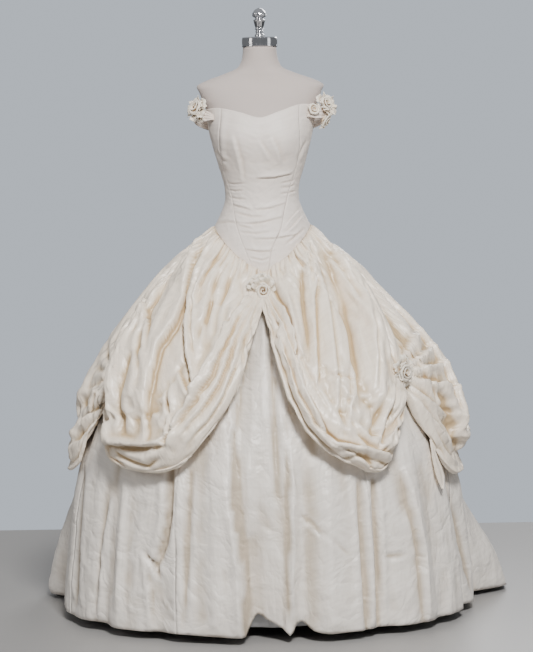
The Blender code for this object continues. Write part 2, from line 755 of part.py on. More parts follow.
def seat(piece, carriers, direction):
    """Moves a piece along its direction, from outside, to the first place where its carriers stop it."""
    tree, points = surfaces(carriers)
    own_tree, own_points = surfaces([piece.name])
    centre = sum(own_points, Vector()) / len(own_points)
    points = [point for point in points if (point - centre).length < SEAT_REACH]
    far = SEAT_REACH / 2
    while is_clear(tree, points, own_tree, own_points, direction * far):
        far -= SEAT_STEP
    inside, outside = far, far + SEAT_STEP
    for _ in range(SEAT_HALVINGS):
        middle = (inside + outside) / 2
        if is_clear(tree, points, own_tree, own_points, direction * middle):
            outside = middle
        else:
            inside = middle
    piece.data.transform(Matrix.Translation(direction * outside))


def make_sleeves(silk):
    """Each band stands on the bodice at both ends, and its wall goes outwards from the arm's opening."""
    for sleeve in SLEEVES:
        hand = "left" if sleeve.side < 0 else "right"
        tree = surfaces([f"bodice_side_front_{hand}", f"bodice_side_back_{hand}"])[0]
        turn = np.linspace(0, math.pi, SLEEVE_COLUMNS)
        grid = np.zeros((3, SLEEVE_COLUMNS, 3))
        away = np.zeros((3, SLEEVE_COLUMNS, 3))
        for row, share in enumerate((0, 0.5, 1)):
            ends = []
            for column, angle, low in ((0, sleeve.front_angle, 0), (-1, sleeve.back_angle, sleeve.drop)):
                height = sleeve.top - share * sleeve.tall - low
                place = (np.array(float(angle * sleeve.side)), np.array(height))
                along = sideways(figure, *place)
                out = Vector(outwards(along))
                hit = tree.ray_cast(Vector(figure(*place)) + out * 0.1, -out)
                ends.append(np.array(hit[0] + out * SLEEVE_GAP))
                away[row, column] = along * sleeve.side * (1 if column else -1)
            middle = (ends[0] + ends[1]) / 2
            grid[row] = middle + (ends[0] - middle) * np.cos(turn)[:, None]
            grid[row, :, 0] += sleeve.side * sleeve.reach * (1 + SLEEVE_SLOPE * share) * np.sin(turn)
            grid[row, :, 2] += sleeve.rise * np.sin(turn)
        run = np.gradient(grid, axis=1)[:, 1:-1]
        run[..., 2] = 0
        run = run / np.linalg.norm(run, axis=-1, keepdims=True)
        away[:, 1:-1] = outwards(run) * sleeve.side
        wall(sleeve.name, grid, away * CLOTH, silk)


def make_tail(silk):
    """The tie's tail: a narrow wall with a fold down its middle, hanging on the overskirt."""
    angle = np.array([row.angle for row in TAIL])[:, None]
    z = np.array([row.z for row in TAIL])[:, None]
    half = np.array([row.half for row in TAIL])[:, None]
    across = np.array([-1.0, 0.0, 1.0])
    along = sideways(skirt, angle, z)
    away = outwards(along)
    stands = TAIL_STANDS + TAIL_FOLD * (1 - np.abs(across))
    grid = skirt(angle, z) + along * (half * across)[..., None] + away * stands[:, None]
    wall("tie_right", grid, away * CLOTH + 0 * grid, silk)
    seat(bpy.data.objects["tie_right"], TAIL_CARRIERS, Vector(away[2, 0]))


def make_rose(rose, silk):
    """A fabric rose: one spiral ribbon, wider at its rim, leaning outwards."""
    bm = bmesh.new()
    steps = int(rose.turns * ROSE_STEPS)
    thick = min(0.0026, rose.radius * 0.11)
    previous = None
    for i in range(steps + 1):
        share = i / steps
        turn = share * rose.turns * math.tau
        foot = rose.radius * (0.16 + 0.44 * share)
        rim = rose.radius * (0.26 + 0.70 * share)
        tall = rose.tall * (1.0 - 0.25 * share)
        direction = Vector((math.cos(turn), math.sin(turn), 0))
        corners = [
            direction * (foot - thick / 2),
            direction * (foot + thick / 2),
            direction * (rim + thick / 2) + Vector((0, 0, tall)),
            direction * (rim - thick / 2) + Vector((0, 0, tall)),
        ]
        now = [bm.verts.new(corner) for corner in corners]
        if previous:
            for k in range(4):
                m = (k + 1) % 4
                bm.faces.new((previous[k], previous[m], now[m], now[k]))
        else:
            bm.faces.new(now)
        previous = now
    bm.faces.new(previous[::-1])
    piece = object_from(rose.name, bm, silk)
    facing = math.radians(rose.facing)
    direction = Vector((math.sin(facing), -math.cos(facing), 0.12)).normalized()
    tree = surfaces(rose.carriers)[0]
    forward = Vector((0, 1, 0))
    place = tree.ray_cast(Vector((rose.x, -1, rose.z)), forward)[0]
    place = place or tree.find_nearest(Vector((rose.x, -0.05, rose.z)))[0]
    place = Vector((rose.x, place.y, rose.z))
    spin = direction.to_track_quat("Z", "Y").to_matrix().to_4x4()
    piece.data.transform(Matrix.Translation(place) @ spin)
    seat(piece, rose.carriers, direction)


def make_buttons(silk):
    profile = [(BUTTON_RADIUS * 0.8, 0), (BUTTON_RADIUS, 0.0015), (BUTTON_RADIUS * 0.6, 0.004)]
    for number, height in enumerate(BUTTON_HEIGHTS, 1):
        button = turned(f"back_button_{number}", profile, silk, steps=10)
        place = Vector(figure(180, height)) + Vector((0, 0.03, 0))
        button.data.transform(Matrix.Translation(place) @ Matrix.Rotation(-math.pi / 2, 4, "X"))
        seat(button, ["bodice_placket"], Vector((0, 1, 0)))


def main():
    for old in list(bpy.data.objects):
        bpy.data.objects.remove(old)
    jersey = material("form jersey", (0.60, 0.55, 0.51), 0.85)
    chrome = material("chrome", (0.78, 0.78, 0.80), 0.12, 1.0)
    iron = material("steel", (0.45, 0.45, 0.46), 0.35, 1.0)
    enamel = material("painted iron", (0.05, 0.05, 0.055), 0.4)
    matte = material("bodice silk", (0.68, 0.63, 0.57), 0.7)
    silk = material("skirt silk", (0.74, 0.69, 0.61), 0.5)
    cotton = material("petticoat cotton", (0.66, 0.66, 0.66), 0.85)
    make_form(jersey)
    make_stand(chrome, iron, enamel)
    make_bodice(matte)
    make_placket(matte)
    make_buttons(matte)
    make_gores(silk)
    make_petticoat(cotton)
    make_swags(silk)
    make_sleeves(silk)
    make_tail(silk)
    for rose in ROSES:
        make_rose(rose, silk)


main()
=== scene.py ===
# %% [markdown]
# # A wedding dress on its form
# This lesson dresses a imported model: the hard numbers come from the model, and the looks are made here.
# The dress has a pointed bodice, an overskirt that is picked up in swags, a plain underskirt with a short
# train, and fabric roses. It stands on a jersey covered form with a chrome cap.
# Every piece of cloth starts as a smooth sheet on the same shape as its solid. Listed folds are then
# pressed into it, and it gets a thickness at the end.

# %% Load the imported model
import math
from collections import namedtuple

import bmesh
import bpy
import numpy as np
from mathutils import Matrix, Vector


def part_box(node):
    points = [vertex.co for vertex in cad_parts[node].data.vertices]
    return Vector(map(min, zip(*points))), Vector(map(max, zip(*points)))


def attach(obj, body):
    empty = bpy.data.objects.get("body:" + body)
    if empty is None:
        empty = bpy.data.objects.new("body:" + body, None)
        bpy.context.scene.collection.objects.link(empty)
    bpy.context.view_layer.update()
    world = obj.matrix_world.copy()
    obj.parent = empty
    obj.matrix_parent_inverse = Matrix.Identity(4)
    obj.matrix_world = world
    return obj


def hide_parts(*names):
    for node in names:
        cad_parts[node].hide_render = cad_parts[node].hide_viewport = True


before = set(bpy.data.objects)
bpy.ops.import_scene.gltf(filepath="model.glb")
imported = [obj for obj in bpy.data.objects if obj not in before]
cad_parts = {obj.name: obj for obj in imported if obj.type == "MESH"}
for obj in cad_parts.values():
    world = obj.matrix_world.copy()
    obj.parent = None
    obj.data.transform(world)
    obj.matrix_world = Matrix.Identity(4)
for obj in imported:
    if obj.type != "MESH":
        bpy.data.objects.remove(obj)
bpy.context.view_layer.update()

# %% [markdown]
# ## The camera
# The photograph was taken from about 6.5 metres with a long lens, a little above the waist, and the camera
# leaned over by a degree. The same numbers place the folds later, because many folds are noted where they
# are seen in the picture, in pixels from its top left corner.

# %% Camera
PICTURE = (533, 652)
LENS_PIXELS = 2281.0
EYE = np.array([0.007, -6.5, 1.352])
PITCH = math.radians(4.7)
ROLL = math.radians(0.9)
RIGHT = np.array([1.0, 0.0, 0.0])
UP = np.array([0.0, math.sin(PITCH), math.cos(PITCH)])
AHEAD = np.array([0.0, math.cos(PITCH), -math.sin(PITCH)])
leant_right = RIGHT * math.cos(ROLL) - UP * math.sin(ROLL)
leant_up = RIGHT * math.sin(ROLL) + UP * math.cos(ROLL)


def picture_place(points):
    """Where points are seen in the photograph, in pixels from its top left corner."""
    apart = points - EYE
    far = apart @ AHEAD
    x = PICTURE[0] / 2 + LENS_PIXELS * (apart @ leant_right) / far
    y = PICTURE[1] / 2 - LENS_PIXELS * (apart @ leant_up) / far
    return np.stack([x, y], axis=-1)


eye = bpy.data.objects.new("camera", bpy.data.cameras.new("camera"))
bpy.context.scene.collection.objects.link(eye)
eye.data.sensor_fit = "VERTICAL"
eye.data.sensor_height = 36.0
eye.data.lens = LENS_PIXELS * 36.0 / PICTURE[1]
turn = np.eye(4)
turn[:3, 0], turn[:3, 1], turn[:3, 2], turn[:3, 3] = leant_right, leant_up, -AHEAD, EYE
eye.matrix_world = Matrix(turn.tolist())
bpy.context.scene.camera = eye
print("neck seen at", picture_place(np.array([0, 0, 1.61])).round(1))

# %% [markdown]
# ## The shapes under the cloth
# Two shapes carry everything: the figure, which is a stack of rounded outlines, and the skirt, which
# springs out from the pointed seam at the hips. They are the same shapes as the solids have, read from the
# same short tables, so each sheet lies where its solid is.

# %% Tables of the figure and the skirt
CLOTH = 0.002
SEAM = 0.0003
FORM_GAP = 0.0034
SEAM_ALLOWANCE = 0.014
Level = namedtuple("Level", "z wide front back")
FIGURE = [
    Level(0.84, 0.160, 0.112, 0.122),
    Level(0.89, 0.169, 0.117, 0.128),
    Level(0.95, 0.171, 0.119, 0.129),
    Level(1.00, 0.163, 0.117, 0.123),
    Level(1.05, 0.151, 0.112, 0.114),
    Level(1.10, 0.1365, 0.105, 0.102),
    Level(1.14, 0.1160, 0.097, 0.092),
    Level(1.18, 0.1027, 0.091, 0.086),
    Level(1.217, 0.1036, 0.092, 0.087),
    Level(1.25, 0.1120, 0.098, 0.091),
    Level(1.285, 0.1225, 0.106, 0.096),
    Level(1.32, 0.1325, 0.114, 0.101),
    Level(1.36, 0.1425, 0.117, 0.105),
    Level(1.40, 0.1500, 0.110, 0.107),
    Level(1.43, 0.1570, 0.100, 0.106),
    Level(1.46, 0.1670, 0.087, 0.101),
    Level(1.485, 0.1765, 0.073, 0.092),
    Level(1.505, 0.1810, 0.060, 0.078),
    Level(1.518, 0.1550, 0.056, 0.071),
    Level(1.534, 0.1100, 0.054, 0.065),
    Level(1.550, 0.0710, 0.052, 0.060),
    Level(1.568, 0.0575, 0.0505, 0.055),
    Level(1.59, 0.0520, 0.0505, 0.052),
    Level(1.61, 0.0505, 0.0505, 0.0505),
]
Flare = namedtuple("Flare", "z wide front back train_left train_right")
SKIRT = [
    Flare(0.00, 0.592, 0.496, 0.925, 0.085, 0.180),
    Flare(0.10, 0.586, 0.490, 0.800, 0.075, 0.150),
    Flare(0.20, 0.574, 0.474, 0.710, 0.055, 0.095),
    Flare(0.30, 0.562, 0.460, 0.640, 0.030, 0.040),
    Flare(0.40, 0.543, 0.441, 0.580, 0.000, 0.000),
    Flare(0.50, 0.514, 0.415, 0.525, 0.000, 0.000),
    Flare(0.60, 0.476, 0.380, 0.470, 0.000, 0.000),
    Flare(0.70, 0.440, 0.335, 0.412, 0.000, 0.000),
    Flare(0.78, 0.400, 0.290, 0.360, 0.000, 0.000),
    Flare(0.86, 0.347, 0.230, 0.300, 0.000, 0.000),
    Flare(0.93, 0.290, 0.172, 0.240, 0.000, 0.000),
    Flare(1.00, 0.233, 0.140, 0.176, 0.000, 0.000),
    Flare(1.05, 0.190, 0.128, 0.130, 0.000, 0.000),
    Flare(1.105, 0.140, 0.118, 0.110, 0.000, 0.000),
]
Inset = namedtuple("Inset", "drop underskirt petticoat")
INSETS = [
    Inset(0.000, 0.00045, 0.0056),
    Inset(0.014, 0.00045, 0.0056),
    Inset(0.028, 0.0019, 0.0056),
    Inset(0.070, 0.0060, 0.020),
    Inset(0.160, 0.0090, 0.045),
    Inset(0.500, 0.0090, 0.080),
    Inset(1.200, 0.0090, 0.100),
]
print("levels", len(FIGURE), "skirt sections", len(SKIRT))

# %% Read the tables as smooth surfaces
BUST_HEIGHT, BUST_ANGLE, BUST_FULL = 1.345, 31.0, 0.014
BUST_WIDTH, BUST_TALL, BUST_SIDEWAYS = 24.0, 0.055, 0.35
BASQUE_POINT, BASQUE_SIDE, BASQUE_BACK = 0.979, 1.105, 1.05
BASQUE_POINTED, BASQUE_ROUNDED = 1.3, 1.5
SPRING = 0.16
TRAIN_START, TRAIN_FULL = 94.0, 105.0


def read(rows, field, at):
    """A column of a table, read as a smooth curve at the places given in its first column's units."""
    keys = np.array([float(row[0]) for row in rows])
    values = np.array([float(getattr(row, field)) for row in rows])
    at = np.clip(at, keys[0], keys[-1])
    slopes = np.gradient(values, keys)
    i = np.clip(np.searchsorted(keys, at, side="right") - 1, 0, len(keys) - 2)
    span = keys[i + 1] - keys[i]
    t = (at - keys[i]) / span
    rise = t * t * (3 - 2 * t)
    bend = t * (1 - t) * ((1 - t) * slopes[i] - t * slopes[i + 1])
    return values[i] * (1 - rise) + values[i + 1] * rise + span * bend


def smooth(x):
    x = np.clip(x, 0, 1)
    return x * x * (3 - 2 * x)


def ring(angle, wide, front, back):
    """Level points of a rounded outline with its own depth in front and behind."""
    turn = np.radians(angle)
    depth = np.where(np.cos(turn) > 0, front, back)
    return np.stack([wide * np.sin(turn), -depth * np.cos(turn)], axis=-1)


def figure(angle, z):
    """Points of the figure's surface. An angle of 0 is in front, 90 at the right and 180 behind."""
    angle, z = np.broadcast_arrays(np.asarray(angle, float), np.asarray(z, float))
    level = ring(angle, read(FIGURE, "wide", z), read(FIGURE, "front", z), read(FIGURE, "back", z))
    cup = np.exp(-(((np.abs(angle) - BUST_ANGLE) / BUST_WIDTH) ** 2) - ((z - BUST_HEIGHT) / BUST_TALL) ** 2)
    turn = np.radians(angle)
    way = np.stack([BUST_SIDEWAYS * np.sin(turn), -np.cos(turn)], axis=-1)
    level = level + (BUST_FULL * cup)[..., None] * way
    return np.concatenate([level, z[..., None]], axis=-1)


def sideways(surface, angle, z):
    """The level direction along a surface, towards rising angles."""
    step = surface(angle + 0.5, z) - surface(angle - 0.5, z)
    step[..., 2] = 0
    return step / np.linalg.norm(step, axis=-1, keepdims=True)


def outwards(along):
    """The level direction square to one that runs along the surface."""
    return np.stack([along[..., 1], -along[..., 0], 0 * along[..., 0]], axis=-1)


def basque(angle):
    """The height of the seam where the skirt is sewn to the bodice."""
    turn = np.radians(angle)
    in_front = BASQUE_POINT + (BASQUE_SIDE - BASQUE_POINT) * np.abs(np.sin(turn)) ** BASQUE_POINTED
    behind = BASQUE_SIDE - (BASQUE_SIDE - BASQUE_BACK) * np.abs(np.cos(turn)) ** BASQUE_ROUNDED
    return np.where(np.cos(turn) > 0, in_front, behind)


def skirt(angle, z):
    """The skirt's plain shape: it springs out from the seam and then follows the skirt's own sections."""
    angle, z = np.broadcast_arrays(np.asarray(angle, float), np.asarray(z, float))
    top = basque(angle)
    drop = np.maximum(top - z, 0)
    near = figure(angle, top) + outwards(sideways(figure, angle, top)) * drop[..., None]
    behind = smooth((np.abs(angle) - TRAIN_START) / (TRAIN_FULL - TRAIN_START))
    train = np.where(angle > 0, read(SKIRT, "train_right", z), read(SKIRT, "train_left", z)) * behind
    far = ring(angle, read(SKIRT, "wide", z) + train, read(SKIRT, "front", z), read(SKIRT, "back", z))
    share = smooth(drop / SPRING)[..., None]
    level = near[..., :2] * (1 - share) + far * share
    return np.concatenate([level, z[..., None]], axis=-1)


print("hip", figure(90, 0.95).round(3), "hem", skirt(0, 0.01).round(3))
# %% [markdown]
# ## From a grid of points to a sheet of cloth
# A sheet is a grid: rows run down the cloth and columns run across it. Folds move the points along the
# cloth's own normals. Then a second grid lies a cloth's thickness behind the first, and a rim joins them.
# The grid also gives the UV map, in metres of cloth, so that the weave keeps its size on every piece, and
# an attribute carries painted shade, mostly from how deep each point lies in a fold, for the warm shade of the valleys.

# %% Sheets
BEHIND = 0.0012


def normals_of(grid):
    """The direction out of the cloth at each point of a grid."""
    down, across = np.gradient(grid, axis=0), np.gradient(grid, axis=1)
    out = np.cross(down, across)
    return out / np.maximum(np.linalg.norm(out, axis=-1, keepdims=True), 1e-12)


def lengths(grid, axis):
    """How far each point lies along its row or column, in metres."""
    steps = np.linalg.norm(np.diff(grid, axis=axis), axis=-1)
    start = np.zeros_like(np.take(steps, [0], axis=axis))
    return np.concatenate([start, np.cumsum(steps, axis=axis)], axis=axis)


def blurred(values, rounds):
    """A grid of values, evened out by taking the mean with the neighbours again and again."""
    for _ in range(rounds):
        padded = np.pad(values, 1, mode="edge")
        values = (padded[:-2, 1:-1] + padded[2:, 1:-1] + padded[1:-1, :-2] + padded[1:-1, 2:]) / 4
    return values


def sheet_object(name, grid, painted_shade, finish, hem=None, behind=BEHIND):
    """A closed thin shell from a grid of outer points, with its UV map, its painted shade and its distance to the hem.
    """
    rows, columns = grid.shape[:2]
    count = rows * columns
    back = grid - normals_of(grid) * behind
    points = np.concatenate([grid.reshape(-1, 3), back.reshape(-1, 3)])
    index = np.arange(count).reshape(rows, columns)
    a, b, c, d = index[:-1, :-1], index[1:, :-1], index[1:, 1:], index[:-1, 1:]
    front = np.stack([a, b, c, d], axis=-1).reshape(-1, 4)
    rear = np.stack([a, d, c, b], axis=-1).reshape(-1, 4) + count
    loop = np.concatenate([index[0, :-1], index[:-1, -1], index[-1, :0:-1], index[:0:-1, 0]])
    after = np.roll(loop, -1)
    rim = np.stack([loop, after, after + count, loop + count], axis=-1)
    faces = np.concatenate([front, rear, rim])
    mesh = bpy.data.meshes.new(name)
    mesh.from_pydata(points.tolist(), [], faces.tolist())
    across, down = lengths(grid, 1), lengths(grid, 0)
    across = across - across[:, columns // 2][:, None]
    uv = np.tile(np.stack([across, down], axis=-1).reshape(-1, 2), (2, 1))
    layer = mesh.uv_layers.new(name="cloth")
    layer.data.foreach_set("uv", uv[faces.reshape(-1)].astype(np.float32).reshape(-1))
    hem = np.full((rows, columns), 1.0) if hem is None else hem
    # the fold attribute holds the painted shade, the hem attribute the distance to the hem
    for label, values in (("fold", painted_shade), ("hem", hem)):
        both = np.tile(values.reshape(-1), 2).astype(np.float32)
        mesh.attributes.new(label, "FLOAT", "POINT").data.foreach_set("value", both)
    mesh.materials.append(finish)
    mesh.polygons.foreach_set("use_smooth", [True] * len(faces))
    made = bpy.data.objects.new(name, mesh)
    bpy.context.scene.collection.objects.link(made)
    return made


def measured(name, grid):
    """Prints a grid's width and length at their largest, and its area, all in metres."""
    a, b = grid[1:, 1:] - grid[:-1, :-1], grid[1:, :-1] - grid[:-1, 1:]
    area = np.linalg.norm(np.cross(a, b), axis=-1).sum() / 2
    wide, long = lengths(grid, 1)[:, -1].max(), lengths(grid, 0)[-1].max()
    print(f"{name}: {wide:.3f} wide, {long:.3f} long, area {area:.4f}")


# %% [markdown]
# ## Noise for crumples
# Silk that has been folded and worn keeps hundreds of small sharp creases. A noise made of smooth hills has
# none, so the hills' absolute value is taken: where the noise crosses zero there is a crease.

# %% Noise
def scatter(i, j, seed):
    """A value from 0 to 1 for each whole number pair, the same on every run."""
    value = np.sin(i * 127.1 + j * 311.7 + seed * 74.7) * 43758.5453
    return value - np.floor(value)


def noise(x, y, seed):
    """Smooth hills and hollows from -1 to 1, about one unit apart."""
    i, j = np.floor(x), np.floor(y)
    u, v = smooth(x - i), smooth(y - j)
    low = scatter(i, j, seed) * (1 - u) + scatter(i + 1, j, seed) * u
    high = scatter(i, j + 1, seed) * (1 - u) + scatter(i + 1, j + 1, seed) * u
    return 2 * (low * (1 - v) + high * v) - 1


def creases(x, y, seed, octaves=3):
    """Creased cloth: flat facets that meet in sharp lines, about one unit apart."""
    total = 0
    for k in range(octaves):
        turn = 0.6 + 1.1 * k + seed
        p, q = x * math.cos(turn) - y * math.sin(turn), x * math.sin(turn) + y * math.cos(turn)
        bend = 0.6 * noise(p * 0.7, q * 0.7, seed + 31 + k)
        total = total + (0.5 - np.abs(noise(p * 1.9**k + bend, q * 1.9**k - bend, seed + k))) / 1.9**k
    return total


print("noise", noise(np.linspace(0, 3, 4), 0.5, 1).round(2))

# %% [markdown]
# ## Folds one by one
# A fold is a line on the cloth with a width and a depth. Most folds lean over like a wave: one steep face
# beside a narrow valley, and a long gentle slope on the other side. In the table, a side of 1 puts the slope
# on the left of a line that runs downwards, -1 puts it on the right, 0 makes a valley between two small
# crests, and 2 makes a crest alone. Widths are in pixels of the photograph, about 2.85 mm each, and
# depths are in millimetres.

# %% Folds in the picture
Fold = namedtuple("Fold", "path wide deep side")


def beside(spots, path):
    """For each spot, the distance from a line of points, with its sign, and the share of the way along."""
    path = np.array(path, float)
    start, run = path[:-1], np.diff(path, axis=0)
    size = np.linalg.norm(run, axis=1)
    so_far = np.concatenate([[0], np.cumsum(size)])
    best = np.full(spots.shape[:-1], np.inf)
    signed, share = np.zeros_like(best), np.zeros_like(best)
    for k in range(len(run)):
        apart = spots - start[k]
        t = np.clip(apart @ run[k] / size[k] ** 2, 0, 1)
        gap = np.linalg.norm(apart - t[..., None] * run[k], axis=-1)
        side = np.sign(run[k][0] * apart[..., 1] - run[k][1] * apart[..., 0])
        nearer = gap < best
        best = np.where(nearer, gap, best)
        signed = np.where(nearer, gap * side, signed)
        share = np.where(nearer, (so_far[k] + t * size[k]) / so_far[-1], share)
    return signed, share


def section(away, side):
    """A fold's cross-section, for distances measured in its own width."""
    if side == 0:
        return 0.35 * np.exp(-(((np.abs(away) - 1.5) / 0.8) ** 2)) - np.exp(-((np.abs(away) / 0.55) ** 1.4))
    if side == 2:
        return np.exp(-(np.abs(away) ** 1.5))
    away = away * side
    face = smooth((away + 0.2) / 0.6) * np.exp(-((np.maximum(away - 0.4, 0) / 1.5) ** 1.3))
    return face - 0.3 * np.exp(-(((away + 0.3) / 0.4) ** 2))


def facing(grid):
    """How far each point faces the camera, from 0 where it is seen edge on, to 1."""
    sight = EYE - grid
    sight = sight / np.linalg.norm(sight, axis=-1, keepdims=True)
    return smooth((normals_of(grid) * sight).sum(axis=-1) / 0.3)


def pressed(grid, folds):
    """The height, in metres, that a table of folds gives each point of a grid."""
    spots = picture_place(grid)
    height = np.zeros(grid.shape[:2])
    for fold in folds:
        away, share = beside(spots, fold.path)
        fade = np.sin(math.pi * np.clip(share, 0.001, 0.999)) ** 0.45
        height += fold.deep / 1000 * fade * section(away / fold.wide, fold.side)
    return height * facing(grid)


print("a crest and its valley", section(np.array([-0.25, 0.6]), 1).round(2))
# %% [markdown]
# ## Silk
# The skirt is dupion silk: a crisp plain weave whose thicker threads run across it as fine slubs. It has a
# soft sheen, not a mirror's gloss. The fold attribute mixes painted shade into the valleys: a darker golden
# colour, warm like light that is reflected from silk to silk in a fold. The slubs are a noise that is stretched
# across the cloth, used for a little colour and for the bump.

# %% Silk and cotton
def node(tree, kind, links=(), **values):
    """Adds a shader node, sets its values, and links sockets into it."""
    made = tree.nodes.new(kind)
    for key, value in values.items():
        setattr(made, key, value)
    for socket, source in links:
        if isinstance(source, bpy.types.NodeSocket):
            tree.links.new(source, made.inputs[socket])
        else:
            made.inputs[socket].default_value = source
    return made


def woven(name, colour, deep, roughness, sheen, gloss=0.5, slub=0.35, crumple=0.25, weave=0.15, painted_shade_strength=1.0, pleat=0.0):
    """A woven cloth: its colour, the darker colour of its painted shade in the folds, and how strongly each layer of
    relief shows.
    """
    made = bpy.data.materials.new(name)
    made.use_nodes = True
    tree = made.node_tree
    shader = tree.nodes["Principled BSDF"]
    shader.inputs["Roughness"].default_value = roughness
    shader.inputs["Sheen Weight"].default_value = sheen
    shader.inputs["Sheen Roughness"].default_value = 0.35
    shader.inputs["Specular IOR Level"].default_value = gloss
    spot = node(tree, "ShaderNodeUVMap", uv_map="cloth").outputs["UV"]
    threads = node(tree, "ShaderNodeMapping", [("Vector", spot), ("Scale", (55, 900, 1))]).outputs["Vector"]
    slubs = node(tree, "ShaderNodeTexNoise", [("Vector", threads), ("Scale", 1.0), ("Detail", 2.0)]).outputs[0]
    streak = node(tree, "ShaderNodeMapping", [("Vector", spot), ("Scale", (4, 90, 1))]).outputs["Vector"]
    streaks = node(tree, "ShaderNodeTexNoise", [("Vector", streak), ("Scale", 1.0), ("Detail", 3.0)]).outputs[0]
    fine = node(tree, "ShaderNodeTexNoise", [("Vector", spot), ("Scale", 2200.0), ("Detail", 1.0)]).outputs[0]
    bent = node(tree, "ShaderNodeTexNoise", [("Vector", spot), ("Scale", 13.0), ("Detail", 3.0), ("Distortion", 0.4)]).outputs[0]
    ridge = node(tree, "ShaderNodeMath", [(0, bent), (1, 0.5)], operation="SUBTRACT").outputs[0]
    ridge = node(tree, "ShaderNodeMath", [(0, ridge)], operation="ABSOLUTE").outputs[0]
    # painted shade: the fold attribute mixes the darker golden colour into the valleys
    fold = node(tree, "ShaderNodeAttribute", attribute_name="fold").outputs["Fac"]
    painted_shade_share = node(tree, "ShaderNodeMath", [(0, fold), (1, painted_shade_strength)], operation="MULTIPLY", use_clamp=True).outputs[0]
    tone = node(tree, "ShaderNodeMix", data_type="RGBA")
    tone.inputs[6].default_value = (*colour, 1)
    tone.inputs[7].default_value = (*deep, 1)
    tree.links.new(painted_shade_share, tone.inputs[0])
    light = node(tree, "ShaderNodeMapRange", [("Value", streaks), ("From Min", 0.3), ("From Max", 0.7)])
    light.inputs["To Min"].default_value = 0.94
    light.inputs["To Max"].default_value = 1.045
    lit = node(tree, "ShaderNodeVectorMath", operation="SCALE")
    tree.links.new(tone.outputs[2], lit.inputs[0])
    tree.links.new(light.outputs[0], lit.inputs["Scale"])
    tree.links.new(lit.outputs[0], shader.inputs["Base Color"])
    shape = node(tree, "ShaderNodeMath", [(0, slubs), (1, slub)], operation="MULTIPLY").outputs[0]
    shape = node(tree, "ShaderNodeMath", [(0, fine), (1, weave), (2, shape)], operation="MULTIPLY_ADD").outputs[0]
    relief = node(tree, "ShaderNodeBump", [("Height", shape), ("Strength", 0.35), ("Distance", 0.0006)])
    crush = node(tree, "ShaderNodeBump", [("Height", ridge), ("Strength", crumple), ("Distance", 0.020)])
    along = node(tree, "ShaderNodeMapping", [("Vector", spot), ("Scale", (42, 3.2, 1))]).outputs["Vector"]
    lines = node(tree, "ShaderNodeTexNoise", [("Vector", along), ("Scale", 1.0), ("Detail", 2.0), ("Distortion", 0.3)])
    pleats = node(tree, "ShaderNodeBump", [("Height", lines.outputs[0]), ("Strength", pleat), ("Distance", 0.008)])
    tree.links.new(pleats.outputs[0], crush.inputs["Normal"])
    tree.links.new(crush.outputs[0], relief.inputs["Normal"])
    tree.links.new(relief.outputs[0], shader.inputs["Normal"])
    return made


# each cloth's second colour is the darker golden colour of its painted shade in the folds
SILK = woven("dupion silk", (0.915, 0.81, 0.68), (0.53, 0.385, 0.215), 0.39, 0.12, gloss=0.9, slub=0.6, crumple=0.34, weave=0.2, painted_shade_strength=1.4, pleat=0.55)
UNDER_SILK = woven("worn dupion silk", (0.81, 0.755, 0.69), (0.52, 0.435, 0.335), 0.43, 0.12, gloss=0.7, slub=0.6, crumple=0.65, weave=0.2, pleat=0.45)
MATTE_SILK = woven("matte silk", (0.80, 0.728, 0.672), (0.64, 0.52, 0.42), 0.55, 0.12, crumple=0.16, painted_shade_strength=0.8)
ROSE_SILK = woven("rose silk", (0.85, 0.79, 0.69), (0.70, 0.50, 0.29), 0.48, 0.15, crumple=0.12)
COTTON = woven("plain cotton", (0.66, 0.665, 0.67), (0.50, 0.49, 0.48), 0.85, 0.1, crumple=0.15)
print("cloths", [m.name for m in (SILK, UNDER_SILK, MATTE_SILK, ROSE_SILK, COTTON)])
# %% [markdown]
# ## The overskirt
# Six swags make the overskirt. Each is gathered into the pointed seam, hangs full, and is picked up at both
# lower corners, so its lower edge sags and rolls under. The grid of a swag runs from the seam, down the
# front, round the roll and a little way up behind. The tables give the lower edge from one pick-up to the
# next, and how far the cloth stands out from the skirt's plain shape on its way down.

# %% The swags' shapes
Swag = namedtuple("Swag", "start end full lift edge")
Lower = namedtuple("Lower", "along angle z")
BACK_EDGE = [
    Lower(0.00, 120, 0.70),
    Lower(0.12, 126, 0.58),
    Lower(0.25, 135, 0.48),
    Lower(0.40, 146, 0.44),
    Lower(0.58, 157, 0.45),
    Lower(0.74, 168, 0.50),
    Lower(0.88, 176, 0.62),
    Lower(1.00, 180, 0.76),
]
SIDE_LEFT_EDGE = [
    Lower(0.00, -120, 0.70),
    Lower(0.12, -116, 0.58),
    Lower(0.26, -107, 0.47),
    Lower(0.42, -97, 0.425),
    Lower(0.58, -87, 0.415),
    Lower(0.72, -76, 0.435),
    Lower(0.84, -70, 0.50),
    Lower(0.93, -67, 0.60),
    Lower(1.00, -64, 0.70),
]
FRONT_LEFT_EDGE = [
    Lower(0.00, -64.0, 0.700),
    Lower(0.10, -60.0, 0.600),
    Lower(0.20, -56.5, 0.500),
    Lower(0.30, -47.0, 0.455),
    Lower(0.41, -32.0, 0.443),
    Lower(0.52, -22.5, 0.475),
    Lower(0.64, -15.0, 0.560),
    Lower(0.76, -8.0, 0.660),
    Lower(0.88, -3.8, 0.785),
    Lower(1.00, 0.0, 0.905),
]
FRONT_RIGHT_EDGE = [
    Lower(0.00, 0.0, 0.905),
    Lower(0.12, 3.5, 0.790),
    Lower(0.24, 6.8, 0.690),
    Lower(0.36, 11.5, 0.585),
    Lower(0.48, 19.0, 0.505),
    Lower(0.60, 27.5, 0.447),
    Lower(0.70, 34.0, 0.437),
    Lower(0.80, 40.0, 0.475),
    Lower(0.90, 46.5, 0.560),
    Lower(1.00, 53.0, 0.690),
]
